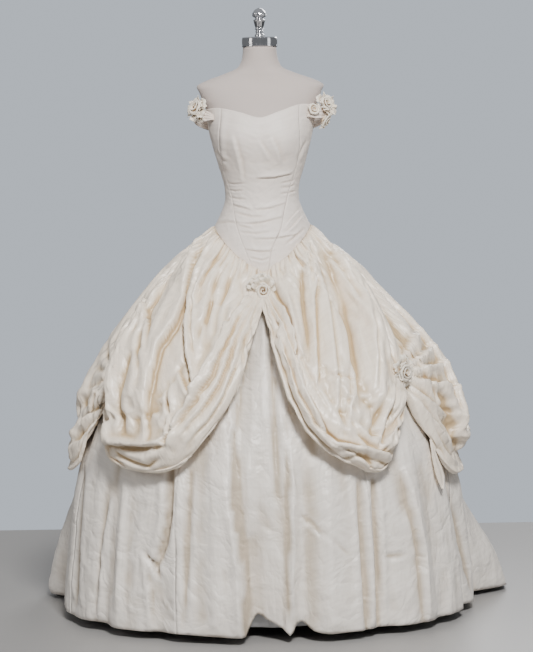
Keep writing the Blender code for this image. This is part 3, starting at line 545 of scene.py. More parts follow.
SIDE_RIGHT_EDGE = [
    Lower(0.00, 53, 0.69),
    Lower(0.08, 56, 0.58),
    Lower(0.18, 62, 0.47),
    Lower(0.30, 69, 0.405),
    Lower(0.45, 80, 0.390),
    Lower(0.60, 92, 0.405),
    Lower(0.75, 104, 0.455),
    Lower(0.88, 114, 0.560),
    Lower(1.00, 120, 0.70),
]
BACK_LEFT_EDGE = [Lower(1 - row.along, -row.angle, row.z) for row in reversed(BACK_EDGE)]
SWAGS = {
    "swag_back_left": Swag(-180, -130, 0.060, 0.5, BACK_LEFT_EDGE),
    "swag_side_left": Swag(-130, -80, 0.056, 0.35, SIDE_LEFT_EDGE),
    "swag_front_left": Swag(-80, 0, 0.072, 0.0, FRONT_LEFT_EDGE),
    "swag_front_right": Swag(0, 80, 0.072, 0.0, FRONT_RIGHT_EDGE),
    "swag_side_right": Swag(80, 130, 0.077, 1.0, SIDE_RIGHT_EDGE),
    "swag_back_right": Swag(130, 180, 0.060, 0.5, BACK_EDGE),
}
Down = namedtuple("Down", "along share pinched low lifted")
SWAG_PROFILE = [
    Down(0.00, 0.000, 0.00, 0.00, 0.00),
    Down(0.09, 0.110, 0.35, 0.10, 0.00),
    Down(0.19, 0.230, 0.70, 0.24, 0.04),
    Down(0.30, 0.360, 1.00, 0.42, 0.24),
    Down(0.41, 0.500, 1.00, 0.60, 0.74),
    Down(0.52, 0.640, 1.00, 0.78, 1.00),
    Down(0.63, 0.780, 1.00, 0.93, 0.82),
    Down(0.72, 0.890, 1.00, 1.00, 0.42),
    Down(0.79, 0.965, 0.95, 0.88, 0.28),
    Down(0.84, 1.000, 0.75, 0.60, 0.18),
    Down(0.88, 0.985, 0.55, 0.32, 0.11),
    Down(0.93, 0.940, 0.50, 0.14, 0.06),
    Down(1.00, 0.880, 0.45, 0.05, 0.03),
]
PINCHED = 0.016
EDGE_AT = 0.84
ROWS = 161
ROW_PLACES = np.interp(np.linspace(0, 1, ROWS), (0.0, 0.36, 0.88, 1.0), (0.0, 0.50, 0.86, 1.0))
EDGE_ROW = int(np.argmin(np.abs(ROW_PLACES - EDGE_AT)))


def swag_grid(swag, columns):
    """A swag's smooth outer grid, how far it stands out, and the angle and share of each point."""
    across = np.linspace(0, 1, columns)
    down = ROW_PLACES[:, None]
    tops = swag.start + (swag.end - swag.start) * across
    low_angle, low_z = read(swag.edge, "angle", across), read(swag.edge, "z", across)
    share = read(SWAG_PROFILE, "share", down)
    seam = basque(tops)
    top = seam - SEAM
    z = top + (low_z - top) * share
    angle = tops + (low_angle - tops) * share
    full = read(SWAG_PROFILE, "low", down)
    full = full + (read(SWAG_PROFILE, "lifted", down) - full) * swag.lift
    swell = (swag.full - PINCHED) * np.sin(np.pi * across) ** 0.7
    stand = PINCHED * read(SWAG_PROFILE, "pinched", down) + swell * full
    along = sideways(skirt, angle, z)
    points = skirt(angle, z) + outwards(along) * stand[..., None]
    return points + normals_of(points) * CLOTH, stand, angle, across, down


COLUMNS = {name: 153 if "front" in name else 101 if "side" in name else 81 for name in SWAGS}
grid, stand, *_ = swag_grid(SWAGS["swag_front_left"], 153)
measured("front swag", grid)

# %% [markdown]
# ## The folds of the two front swags
# These are the folds that make this dress, so they are noted one by one from the photograph. Long folds fall
# from the gathers and swing towards the pick-ups, and the lower part of each swag is drawn up into a band of
# narrow pleats that leave the rose in front and sweep round to the side.

# %% Folds of the front swags
FRONT_LEFT = [
    Fold([(203, 240), (197, 262), (190, 296), (176, 326), (163, 346), (155, 372), (151, 394)], 5.5, 14, 1),
    Fold([(200, 250), (191, 296), (186, 325), (187, 352), (192, 380), (196, 402)], 3.6, 14, -1),
    Fold([(206, 262), (195, 300), (192, 330), (196, 360)], 3.5, 6, -1),
    Fold([(208, 232), (194, 261), (181, 285), (160, 324), (146, 355), (138, 392), (133, 420)], 9, 13, 2),
    Fold([(183, 262), (165, 288), (150, 314), (147, 330)], 4, 7, 1),
    Fold([(148, 301), (151, 313), (152, 328), (149, 350)], 4, 9, 1),
    Fold([(153, 369), (148, 400), (145.5, 420), (147, 445)], 5, 10, 1),
    Fold([(169, 380), (171, 408), (165.7, 432), (166.6, 448)], 4, 7, -1),
    Fold([(147, 300), (138, 322), (125, 348), (113, 376), (108, 405), (101, 443)], 6, 18, -1),
    Fold([(143, 302), (134, 322), (121, 348), (109, 376), (104, 405), (97, 438)], 3.2, 10, 0),
    Fold([(143, 334), (139, 352), (141, 375), (134, 402)], 6, 7, 1),
    Fold([(135, 352), (124, 380), (119, 405), (119, 434)], 5, 9, 0),
    Fold([(171, 384), (167, 400), (170, 420), (167, 440)], 4, 7, 1),
    Fold([(216, 232), (205, 252), (196, 276)], 3.4, 6, -1),
    Fold([(226, 240), (214, 262), (203, 284), (196, 304)], 3.6, 7, 1),
    Fold([(184, 250), (173, 268), (165, 286)], 4, 6, 0),
    Fold([(176, 246), (160, 270), (146, 290)], 4, 5, 1),
    Fold([(180, 372), (190, 396), (195, 405)], 4, 10, 1),
    Fold([(209, 366), (200, 386), (195, 404)], 4, 10, -1),
    Fold([(222, 262), (213, 290), (206, 318), (203, 350)], 6, 8, 1),
    Fold([(232, 268), (226, 290), (220, 306)], 5, 6, 0),
    Fold([(213, 300), (203, 325), (199, 342)], 4, 6, 0),
    Fold([(100, 445), (120, 448), (146, 450), (167, 448)], 3.5, 16, -1),
    Fold([(167, 449), (178, 424), (190, 411), (204, 388), (216, 360), (226, 330), (247, 296)], 4.0, 20, 1),
    Fold([(252, 302), (238, 322), (228, 352), (214, 384), (198, 408), (176, 434), (150, 456)], 2.6, 9, 1),
    Fold([(254, 304), (243, 328), (233, 358), (219, 390), (202, 416), (180, 441)], 2.2, 8, 1),
    Fold([(256, 306), (248, 332), (238, 364), (224, 397), (207, 423), (186, 446)], 2.2, 8, 1),
    Fold([(250, 298), (234, 315), (222, 344), (208, 376)], 2.2, 8, 1),
    Fold([(110, 453), (130, 462), (146, 466), (160, 458)], 3.5, 7, 0),
    Fold([(250, 310), (232, 350), (212, 392), (186, 428), (160, 455), (135, 462), (112, 457)], 13, 12, 2),
]
FRONT_RIGHT = [
    Fold([(320, 248), (333, 275), (344, 299), (352, 330), (358.6, 378), (362, 412)], 12, 18, 0),
    Fold([(333, 251), (348, 288), (369.5, 324), (380, 369), (386, 412)], 8, 12, 2),
    Fold([(353, 279), (371, 313), (384, 342), (389.5, 362)], 4, 9, 1),
    Fold([(291, 258), (287, 290), (289.5, 317), (296, 345), (302, 360)], 9, 14, 2),
    Fold([(316, 258), (313, 300), (316, 345), (318.6, 390)], 4, 10, 1),
    Fold([(304, 236), (318, 262), (326, 300), (334, 350), (340, 400), (343, 434)], 6, 9, 1),
    Fold([(350, 362), (352, 388), (349, 412), (346, 438)], 4, 7, -1),
    Fold([(329, 380), (342, 376), (356, 379)], 3, 4, 0),
    Fold([(338, 300), (346, 330), (350, 358)], 4.5, 8, 1),
    Fold([(361, 300), (370, 330), (375, 362), (377, 392)], 5, 8, 1),
    Fold([(326, 244), (340, 268), (356, 296), (366, 318)], 4, 7, -1),
    Fold([(300, 268), (302, 300), (306, 330), (308, 352)], 4, 7, 0),
    Fold([(312, 238), (308, 262), (309, 290)], 3.5, 6, 1),
    Fold([(395, 384), (391, 408), (382, 446)], 4, 10, 1),
    Fold([(404, 390), (402, 424), (397, 452)], 3.5, 9, 1),
    Fold([(388, 388), (378, 420), (371, 442)], 5, 7, 0),
    Fold([(358, 435), (370, 445), (379, 448), (384, 437)], 3, 7, 0),
    Fold([(272, 284), (279, 299), (286, 311), (291, 334)], 3, 12, 0),
    Fold([(284, 309), (289.5, 331), (295, 360), (303, 391), (326, 433), (337, 442), (362, 449), (396, 457)], 4.0, 20, 1),
    Fold([(264, 302), (272, 330), (281, 362), (293, 398), (308, 428), (330, 450), (352, 464)], 2.4, 9, 1),
    Fold([(266, 299), (276, 328), (286, 362), (298, 396), (314, 424), (334, 444), (358, 456)], 2.2, 8, 1),
    Fold([(268, 297), (281, 326), (291, 360), (300, 388)], 2.2, 8, 1),
    Fold([(330, 446), (352, 452), (376, 462), (391, 466)], 3, 6, 0),
    Fold([(342, 459), (358, 456), (378, 467)], 3, 5, 0),
    Fold([(364, 456), (372, 466), (374, 475)], 3, 5, 0),
    Fold([(263, 306), (277, 350), (293, 396), (316, 434), (345, 458), (375, 466), (397, 455)], 12, 12, 2),
]
SIDE_RIGHT = [
    Fold([(322, 226), (345, 260), (375, 303), (393, 340), (400, 362)], 6, 8, 1),
    Fold([(334, 248), (365, 283), (392, 316), (410, 345)], 6, 7, 0),
    Fold([(402, 360), (408, 338), (420, 318)], 5.5, 8, 1),
    Fold([(405, 366), (418, 353), (436, 338)], 5.5, 11, 1),
    Fold([(407, 371), (425, 365), (450, 358)], 5.5, 11, 1),
    Fold([(409, 377), (430, 382), (456, 386)], 5.5, 11, 1),
    Fold([(408, 384), (428, 400), (456, 416)], 5.5, 11, 1),
    Fold([(406, 389), (424, 412), (452, 442)], 5.5, 12, 1),
    Fold([(404, 391), (414, 414), (434, 450)], 5, 8, -1),
    Fold([(397, 365), (388, 345), (377, 320)], 4, 8, 0),
]
SIDE_LEFT = [
    Fold([(110, 398), (98, 389), (90, 399)], 4, 8, -1),
    Fold([(109, 404), (96, 408), (78, 420)], 4, 8, 0),
    Fold([(108, 410), (94, 422), (72, 440)], 4, 8, 0),
    Fold([(106, 418), (94, 438), (82, 460)], 4, 9, 0),
]
print("folds", len(FRONT_LEFT) + len(FRONT_RIGHT) + len(SIDE_RIGHT) + len(SIDE_LEFT))

# %% [markdown]
# ## Folds that the photograph doesn't show
# The sides and the back have folds of the same kinds: drapes that fall from the seam, fans that leave a
# pick-up, and pleats along the rolled edge. A drape is noted by its share across the swag at its top and its
# bottom. A fan fold is noted by its direction from the pick-up, in degrees from straight up.

# %% Drapes, fans and rolls
Drape = namedtuple("Drape", "top bottom start end wide deep side")
Fan = namedtuple("Fan", "corner turn reach wide deep")
DRAPES = {
    "swag_front_left": [Drape(0.06, 0.05, 0.05, 0.6, 0.020, 0.008, 0), Drape(0.15, 0.16, 0.1, 0.5, 0.018, 0.007, 1)],
    "swag_front_right": [Drape(0.93, 0.95, 0.05, 0.6, 0.020, 0.008, 0)],
    "swag_side_left": [
        Drape(0.12, 0.20, 0.04, 0.72, 0.020, 0.011, 1),
        Drape(0.30, 0.36, 0.06, 0.78, 0.030, 0.014, 0),
        Drape(0.44, 0.52, 0.04, 0.60, 0.018, 0.009, -1),
        Drape(0.60, 0.66, 0.05, 0.80, 0.028, 0.015, 1),
        Drape(0.78, 0.80, 0.04, 0.70, 0.020, 0.010, 0),
        Drape(0.90, 0.90, 0.10, 0.60, 0.016, 0.008, -1),
    ],
    "swag_side_right": [
        Drape(0.30, 0.34, 0.05, 0.70, 0.026, 0.014, 1),
        Drape(0.46, 0.50, 0.04, 0.80, 0.022, 0.011, 0),
        Drape(0.62, 0.60, 0.06, 0.76, 0.028, 0.014, -1),
        Drape(0.76, 0.74, 0.04, 0.66, 0.018, 0.009, 0),
        Drape(0.90, 0.88, 0.08, 0.60, 0.018, 0.010, 1),
    ],
    "swag_back_left": [
        Drape(0.10, 0.14, 0.04, 0.64, 0.018, 0.010, 0),
        Drape(0.26, 0.30, 0.05, 0.80, 0.026, 0.015, 1),
        Drape(0.42, 0.46, 0.04, 0.62, 0.020, 0.010, 0),
        Drape(0.58, 0.62, 0.06, 0.82, 0.028, 0.014, -1),
        Drape(0.74, 0.78, 0.04, 0.58, 0.018, 0.009, 0),
        Drape(0.88, 0.90, 0.08, 0.70, 0.020, 0.011, 1),
    ],
    "swag_back_right": [
        Drape(0.12, 0.10, 0.06, 0.66, 0.018, 0.010, 1),
        Drape(0.28, 0.24, 0.04, 0.80, 0.028, 0.015, 0),
        Drape(0.45, 0.40, 0.05, 0.60, 0.018, 0.009, -1),
        Drape(0.60, 0.56, 0.04, 0.82, 0.026, 0.014, 1),
        Drape(0.76, 0.73, 0.07, 0.62, 0.020, 0.010, 0),
        Drape(0.90, 0.88, 0.04, 0.70, 0.016, 0.009, 0),
    ],
}
FANS = [
    Fan(0, 12, 0.26, 0.012, 0.009),
    Fan(0, 30, 0.20, 0.010, 0.008),
    Fan(0, 47, 0.28, 0.014, 0.010),
    Fan(0, 66, 0.18, 0.010, 0.008),
    Fan(0, 88, 0.24, 0.012, 0.009),
    Fan(0, 112, 0.20, 0.011, 0.009),
    Fan(1, 10, 0.22, 0.011, 0.008),
    Fan(1, 26, 0.28, 0.013, 0.010),
    Fan(1, 44, 0.19, 0.010, 0.008),
    Fan(1, 62, 0.25, 0.013, 0.009),
    Fan(1, 84, 0.20, 0.011, 0.008),
    Fan(1, 108, 0.23, 0.012, 0.009),
]
FANNED = ("swag_side_left", "swag_side_right", "swag_back_left", "swag_back_right")
Roll = namedtuple("Roll", "along wide deep start end")
ROLLS = [
    Roll(0.66, 0.020, 0.010, 0.04, 0.80),
    Roll(0.71, 0.014, 0.007, 0.30, 0.97),
    Roll(0.75, 0.014, 0.008, 0.02, 0.60),
    Roll(0.79, 0.012, 0.006, 0.40, 0.98),
]


def draped(grid, across, down, drapes):
    """The height that drapes give a swag's grid."""
    wide = lengths(grid, 1)[:, -1:]
    height = np.zeros(grid.shape[:2])
    for row in drapes:
        share = (down - row.start) / (row.end - row.start)
        line = row.top + (row.bottom - row.top) * np.clip(share, 0, 1)
        fade = np.sin(math.pi * np.clip(share, 0, 1)) ** 0.5
        height += row.deep * fade * section((across - line) * wide / row.wide, row.side)
    return height


def fanned(grid, across, fans):
    """The height that folds fanning out from the two pick-ups give a swag's grid."""
    height = np.zeros(grid.shape[:2])
    for row in fans:
        apart = grid - grid[EDGE_ROW, -row.corner]
        level = np.hypot(apart[..., 0], apart[..., 1])
        far = np.hypot(level, apart[..., 2])
        turn = np.degrees(np.arctan2(level, apart[..., 2]))
        away = np.radians(turn - row.turn) * far
        wide = np.maximum(row.wide * (0.35 + far / row.reach), 0.014)
        fade = smooth(far / 0.03) * (1 - smooth(far / row.reach))
        near = (across < 0.6) if row.corner == 0 else (across > 0.4)
        height += row.deep * fade * near * section(away / wide, 0)
    return height


def rolled(across, down, rolls):
    """The height of the pleats that run along the rolled edge."""
    height = 0
    for row in rolls:
        share = np.clip((across - row.start) / (row.end - row.start), 0, 1)
        height = height - row.deep * np.sin(math.pi * share) ** 0.5 * np.exp(-(((down - row.along) / row.wide) ** 2))
    return height


print("drapes", sum(len(rows) for rows in DRAPES.values()), "fans", len(FANS))
# %% [markdown]
# ## Pressing the folds into the swags
# Just below the seam the silk is drawn up into small uneven gathers. Each has its own size and length, and
# the long folds start from them. All the layers of relief are added up and pushed along the smooth grid's
# normals, and no valley may reach the underskirt. The creases use places that run on from swag to swag, so
# the cloth looks like one skirt.

# %% Gathers and the swags' relief
GATHERS = {"swag_front_left": 19, "swag_front_right": 19}
TUCKED, TUCKED_BEHIND = 0.020, 0.006
PRESSED = {
    "swag_front_left": FRONT_LEFT + SIDE_LEFT,
    "swag_side_left": FRONT_LEFT + SIDE_LEFT,
    "swag_front_right": FRONT_RIGHT + SIDE_RIGHT,
    "swag_side_right": FRONT_RIGHT + SIDE_RIGHT,
}


def gathered(across, below, count, seed, shortest, longest):
    """From 0 to 1, the gathers that hang from a seam, each with its own size and length."""
    place = across * count + 0.35 * noise(across * count * 0.7, below * 14, seed)
    number = np.floor(place)
    size = 0.4 + 0.6 * scatter(number, 0, seed)
    long = shortest + (longest - shortest) * scatter(number, 1, seed)
    fade = np.exp(-((below / long) ** 1.6)) * smooth(below / 0.010)
    lean = place - number
    lean = lean + 0.25 * np.sin(math.tau * lean) / math.tau * (1 - 2 * scatter(number, 2, seed))
    return size * fade * np.abs(np.sin(math.pi * lean)) ** 0.8


def crumpled(angle, z, radius):
    """Creases over a skirt: broad soft facets and small sharp ones, in metres."""
    x = np.radians(angle) * radius
    broad = creases(x / 0.10 + z, z / 0.19, 3, 2)
    small = creases(x / 0.030, z / 0.045, 8, 2)
    patchy = smooth(0.5 + 0.9 * noise(x / 0.16, z / 0.16, 5))
    return 0.0026 * broad + 0.0012 * small * patchy


def swag_relief(name, grid, stand, angle, across, down):
    """How far each point of a swag is pushed out or in."""
    below = lengths(grid, 0)
    border = smooth(np.minimum(across, 1 - across) / 0.035)
    own = draped(grid, across, down, DRAPES[name])
    calm = 1.0
    if name in FANNED:
        fans = [row for row in FANS if row.corner or name != "swag_side_right"]
        corners = grid[EDGE_ROW, [0, -1]]
        far = np.linalg.norm(grid[:, :, None] - corners, axis=-1).min(axis=-1)
        calm = 1 - np.exp(-((far / 0.17) ** 4))
        own = (own + rolled(across, down, ROLLS)) * calm + fanned(grid, across, fans)
    height = 1.45 * pressed(grid, PRESSED.get(name, [])) + own * border
    count = GATHERS.get(name, 13)
    low_there = 1 - 0.65 * np.exp(-(((np.abs(angle) - 80) / 24) ** 2))
    long = 0.0055 if "front" in name else 0.0070
    height = height + 0.0085 * low_there * gathered(across, below, count, len(name), 0.06, 0.15) - 0.001
    height = height + long * calm * low_there * gathered(across, below, 0.47 * count, len(name) + 3, 0.14, 0.40)
    height = height + 0.25 * crumpled(angle, grid[..., 2], 0.45) * smooth(below / 0.05)
    tucked = TUCKED if "front" in name else TUCKED_BEHIND
    height = height - tucked * smooth((down - 0.70) / 0.11) * border
    height = height - 0.9 * stand * np.exp(-(((np.abs(angle) - 80) / 25) ** 2) - (below / 0.10) ** 2)
    return np.maximum(height, -0.8 * stand) * smooth(below / 0.008)


def painted_shade_from(height, reach=0.011, rounds=30):
    """How deep each point lies below the cloth round it, from 0 to 1, for the painted warm shade of the folds."""
    return np.clip((blurred(height, rounds) - height) / reach, 0, 1) ** 1.2


def crisped(height, rounds, share):
    """More of what stands out from its surroundings, so that crests and valleys become sharp again."""
    return share * (height - blurred(height, rounds))


# %% Put each piece on its body
def put_on(piece, nodes):
    """The piece stands for its nodes, which are hidden, and rides on the object's one body."""
    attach(piece, "root")
    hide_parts(*nodes)


# %% Press the folds into each swag
plains, hung, stands, heights, angles, ruffs = [], [], [], [], [], []
for name, swag in SWAGS.items():
    grid, stand, angle, across, down = swag_grid(swag, COLUMNS[name])
    height = swag_relief(name, grid, stand, angle, across, down)
    plains.append(grid)
    hung.append(grid + normals_of(grid) * height[..., None])
    stands.append(stand)
    heights.append(height)
    angles.append(angle)
    below = lengths(grid, 0)
    count = 1.45 * GATHERS.get(name, 13)
    ruffs.append(gathered(across, below, count, len(name) + 5, 0.035, 0.085) - 0.4 * np.exp(-((below / 0.05) ** 2)))
print("relief", min(h.min() for h in heights).round(4), max(h.max() for h in heights).round(4))

# %% [markdown]
# ## Letting the silk settle
# Folds from the tables are too even: real silk buckles wherever a wide cloth is held in a narrower space. The
# cloth solver makes these folds well. The swags are sewn into one ring that starts wider than it should be,
# above all at the gathers, and longer in its rolled border. Within a quarter of a second it is drawn back to
# its place, and the spare cloth has to go into folds. Each point is held softly, and the seam and the pick-ups
# hard. It is done on every fourth point, because the solver's folds are about four points wide, and then the
# moves are spread over the full grid.

# %% The solver as a finishing touch
DRAWN_IN, SETTLING = 6, 14


def settled(grid, start, held, bending=0.5):
    """A grid of cloth that was drawn in from where it starts, and buckled, held more or less at each point."""
    rows, columns = grid.shape[:2]
    index = np.arange(rows * columns).reshape(rows, columns)
    quads = np.stack([index[:-1, :-1], index[1:, :-1], index[1:, 1:], index[:-1, 1:]], axis=-1).reshape(-1, 4)
    mesh = bpy.data.meshes.new("settling")
    mesh.from_pydata(start.reshape(-1, 3).tolist(), [], quads.tolist())
    piece = bpy.data.objects.new("settling", mesh)
    bpy.context.scene.collection.objects.link(piece)
    piece.shape_key_add(name="wide")
    drawn = piece.shape_key_add(name="drawn in")
    drawn.data.foreach_set("co", grid.reshape(-1).astype(np.float32))
    for frame_number, value in ((1, 0.0), (DRAWN_IN, 1.0)):
        drawn.value = value
        drawn.keyframe_insert("value", frame=frame_number)
    group = piece.vertex_groups.new(name="held")
    levels = held.reshape(-1).round(2)
    for level in np.unique(levels):
        group.add(np.nonzero(levels == level)[0].tolist(), float(level), "REPLACE")
    cloth = piece.modifiers.new("settling", "CLOTH")
    cloth.settings.quality = 4
    cloth.settings.mass = 0.2
    cloth.settings.tension_stiffness = cloth.settings.compression_stiffness = 20
    cloth.settings.shear_stiffness = 7
    cloth.settings.bending_stiffness = bending
    cloth.settings.air_damping = 2
    cloth.settings.vertex_group_mass = "held"
    cloth.settings.pin_stiffness = 0.6
    cloth.settings.effector_weights.gravity = 0
    cloth.collision_settings.use_collision = False
    cloth.point_cache.frame_end = SETTLING
    for step in range(1, SETTLING + 1):
        bpy.context.scene.frame_set(step)
    result = piece.evaluated_get(bpy.context.evaluated_depsgraph_get())
    places = np.empty(rows * columns * 3)
    result.data.vertices.foreach_get("co", places)
    bpy.data.objects.remove(piece)
    bpy.context.scene.frame_set(1)
    return places.reshape(rows, columns, 3)


def finer(values):
    """A grid with a point added between each two, on a smooth curve through its neighbours."""
    for axis in (0, 1):
        row = np.moveaxis(values, axis, 0)
        ends = np.concatenate([2 * row[:1] - row[1:2], row, 2 * row[-1:] - row[-2:-1]])
        between = (9 * (ends[1:-2] + ends[2:-1]) - ends[:-3] - ends[3:]) / 16
        full = np.empty((2 * len(row) - 1, *row.shape[1:]))
        full[::2], full[1::2] = row, between
        values = np.moveaxis(full, 0, axis)
    return values


def wider(grid, share):
    """Cloth before it was drawn in sideways: each point is further from the pole, by its share."""
    return grid * np.stack([1 + share, 1 + share, 1 + 0 * share], axis=-1)


def longer(grid, share):
    """How far each point moves down its column when each step of the grid is longer by its share."""
    moves = np.cumsum(np.diff(grid, axis=0) * share[1:, :, None], axis=0)
    return np.concatenate([0 * grid[:1], moves])


def sewn(grids):
    """Grids that share their borders, as one grid."""
    return np.concatenate([grid[:, :-1] for grid in grids[:-1]] + [grids[-1]], axis=1)


def eased(before, after, inside, outside, most):
    """The settled grid, with each point's move limited, so that it stays clear of the layers on both sides."""
    move = after - before
    far = np.linalg.norm(move, axis=-1, keepdims=True)
    move = move * np.minimum(1, most / np.maximum(far, 1e-9))
    out = normals_of(before)
    level = (move * out).sum(axis=-1)
    return before + move + out * (np.clip(level, -inside, outside) - level)[..., None]


def settle(grid, share, extra, held, inside, outside, most):
    """Settles every fourth point of a grid, spreads the moves over all its points, and limits them."""
    start = wider(grid, share) + longer(grid, extra)
    move = settled(grid[::4, ::4], start[::4, ::4], held[::4, ::4]) - grid[::4, ::4]
    return eased(grid, grid + finer(finer(move)), inside, outside, most)


def depth_from(plain, grid):
    """How far each point of a grid lies out from the plain grid."""
    return ((grid - plain) * normals_of(plain)).sum(axis=-1)


# %% Settle the overskirt and make its swags
plain_ring, ring_grid, ring_stand, ring_height = sewn(plains), sewn(hung), sewn(stands), sewn(heights)
ring_angle, ring_ruff = sewn(angles), sewn(ruffs)
down = ROW_PLACES[:, None] + np.zeros(ring_grid.shape[:2])
held = 0.35 + 0.1 * smooth((down - 0.78) / 0.08)
held[:2] = held[:, :1] = held[:, -1:] = 1
starts = np.cumsum([0] + [COLUMNS[name] - 1 for name in SWAGS])
for column in starts:
    near = np.linalg.norm(ring_grid - ring_grid[EDGE_ROW, column], axis=-1)
    held = np.maximum(held, 1 - smooth((near - 0.08) / 0.14))
at_hip = np.exp(-(((np.abs(ring_angle) - 80) / 24) ** 2))
in_front = 1 - smooth((np.abs(ring_angle) - 55) / 20)
ragged = down - (0.05 + 0.09 * noise(ring_angle / 9, down * 3, 71)) * (1 - in_front)
in_band = smooth((ragged - 0.54) / 0.08) * (1 - smooth((down - 0.84) / 0.03))
spare_width = 0.09 + 0.30 * (1 - 0.6 * at_hip) * np.exp(-((down / 0.33) ** 1.2))
spare_width = spare_width * (1 - 0.55 * in_front) * (1 - smooth((ragged - 0.54) / 0.14)) - 0.02 * in_band
spare_length = (0.10 + 0.05 * in_front) * in_band - 0.015 * (1 - smooth((ragged - 0.46) / 0.08))
room = np.maximum(0.75 * (ring_stand + ring_height), 0.0005)
outside = 0.02 * (1 - 0.85 * at_hip * np.exp(-((down / 0.22) ** 2)))
ring_grid = settle(ring_grid, spare_width, spare_length, held, room, outside, 0.022)
ring_height = depth_from(plain_ring, ring_grid)
at_seam = lengths(ring_grid, 0)
crisp = crisped(ring_height, 5, 0.4) + 0.0040 * (1 - 0.5 * at_hip) * ring_ruff
crisp = np.clip(crisp, -np.maximum(0.85 * (ring_stand + ring_height), 0), 0.010) * smooth(at_seam / 0.008)
crisp = crisp * (1 - smooth((down - 0.76) / 0.06))
ring_grid = ring_grid + normals_of(ring_grid) * crisp[..., None]
ring_height = ring_height + crisp
# painted shade: darker and warmer in the swags' valleys
ring_painted_shade = 0.8 * painted_shade_from(ring_height, 0.008, 20) + 0.6 * painted_shade_from(ring_height, 0.018, 90)
for number, name in enumerate(SWAGS):
    columns = slice(starts[number], starts[number + 1] + 1)
    grid = ring_grid[:, columns]
    below = lengths(grid, 0)
    # painted shade also darkens the gathers just under the seam
    painted_shade = np.clip(0.75 * ring_painted_shade[:, columns] + 0.25 * np.exp(-((below / 0.02) ** 2)), 0, 1)
    piece = sheet_object(name + "_silk", grid, painted_shade, SILK)
    put_on(piece, [name])
    measured(name, grid)

# %% [markdown]
# ## The underskirt
# Seven gores of the same silk hang inside the overskirt, down to a narrow stitched hem. Behind they run out
# on the floor as a short train. This silk is worn: it has soft deep folds that open towards the hem, and
# many small level crumples near the floor. In front, one deep recess between two folds shows the petticoat.

# %% The gores' shapes
Gore = namedtuple("Gore", "start end hem_start hem_end")
GORES = {
    "gore_back_left": Gore(-180, -130, -180, -126),
    "gore_side_back_left": Gore(-130, -80, -126, -72),
    "gore_side_front_left": Gore(-80, -30, -72, -25),
    "gore_front": Gore(-30, 30, -25, 31),
    "gore_side_front_right": Gore(30, 80, 31, 72),
    "gore_side_back_right": Gore(80, 130, 72, 126),
    "gore_back_right": Gore(130, 180, 126, 180),
}
Flute = namedtuple("Flute", "angle width depth top")
FLUTES = [
    Flute(-165, 9, 0.030, 0.60),
    Flute(-146, 8, 0.022, 0.45),
    Flute(-118, 9, 0.028, 0.55),
    Flute(-98, 7, 0.020, 0.40),
    Flute(-52, 7, 0.016, 0.40),
    Flute(-31, 7, 0.018, 0.40),
    Flute(33, 8, 0.022, 0.50),
    Flute(55, 7, 0.016, 0.45),
    Flute(76, 8, 0.022, 0.40),
    Flute(104, 9, 0.026, 0.55),
    Flute(133, 8, 0.022, 0.45),
    Flute(160, 9, 0.030, 0.60),
]
UNDER_FOLDS = [
    Fold([(171.6, 463), (169.4, 516), (164.7, 544), (157, 572)], 5, 12, 0),
    Fold([(146, 556), (156.8, 569.5), (160, 582)], 3, 7, 0),
    Fold([(146, 561), (152, 600), (155, 639)], 3, 5, 1),
    Fold([(107.9, 500), (104, 544), (98.4, 626)], 4, 6, -1),
    Fold([(210, 440), (214, 500), (216, 560), (214, 640)], 11, 9, 2),
    Fold([(229.4, 445), (231, 500), (240.4, 544), (245, 579), (242, 650)], 6, 17, 1),
    Fold([(289.4, 420), (289.4, 500), (290, 623)], 6, 13, -1),
    Fold([(325, 455), (330, 540), (334, 640)], 13, 9, 2),
    Fold([(358.8, 480), (364, 560), (368, 640)], 4, 11, 0),
    Fold([(373, 478), (377, 560), (379, 635)], 4, 11, 0),
    Fold([(401, 470), (418.8, 556.8), (424, 630)], 5, 10, -1),
    Fold([(447, 480), (462, 550), (475.6, 620)], 5, 8, 0),
    Fold([(297, 512.6), (320, 532), (349, 557)], 3, 3, 0),
    Fold([(381, 560), (394, 559), (406, 557)], 3, 3, 0),
    Fold([(258, 312), (255, 340), (249, 380), (246, 430), (250, 540)], 6, 10, 2),
    Fold([(254, 322), (243, 370), (239, 392), (231.5, 443), (230, 480)], 5, 13, 1),
    Fold([(264, 318), (271, 355), (275, 380), (277, 430)], 4.5, 9, -1),
    Fold([(224, 396), (229, 430), (232, 462)], 4, 9, 0),
    Fold([(284, 366), (288, 400), (289, 430)], 5, 12, -1),
    Fold([(276, 340), (274, 420), (277, 500)], 4, 4, 0),
    Fold([(86, 470), (80, 530), (76, 612)], 4, 7, 0),
    Fold([(125, 480), (122, 560), (120, 630)], 5, 6, 2),
    Fold([(190, 470), (187, 540), (184, 632)], 4, 6, 0),
]
Recess = namedtuple("Recess", "angle depth lift")
RECESS = [
    Recess(-18.0, 0.000, 0.000),
    Recess(-6.4, 0.000, 0.000),
    Recess(-5.2, 0.038, 0.026),
    Recess(-3.6, 0.062, 0.050),
    Recess(0.0, 0.050, 0.040),
    Recess(4.0, 0.030, 0.020),
    Recess(6.3, 0.010, 0.004),
    Recess(7.4, 0.032, 0.024),
    Recess(9.2, 0.040, 0.034),
    Recess(12.0, 0.020, 0.012),
    Recess(15.5, 0.003, 0.002),
    Recess(22.0, 0.000, 0.000),
]
FRONT_HEM, FRONT_ENDS, TRAIN_DOWN = 0.012, 75.0, 30.0
GORE_ROWS, GORE_COLUMNS = 101, 61
HEM_CLEAR = 0.0015


def hem(angle):
    """The underskirt's hem: just off the floor in front, lifted in the recess, and on the floor behind."""
    front = 1 - smooth((np.abs(angle) - FRONT_ENDS) / TRAIN_DOWN)
    uneven = 0.004 * noise(angle / 11, 0.5, 12) * front
    return FRONT_HEM * front + uneven + np.maximum(read(RECESS, "lift", angle), 0)


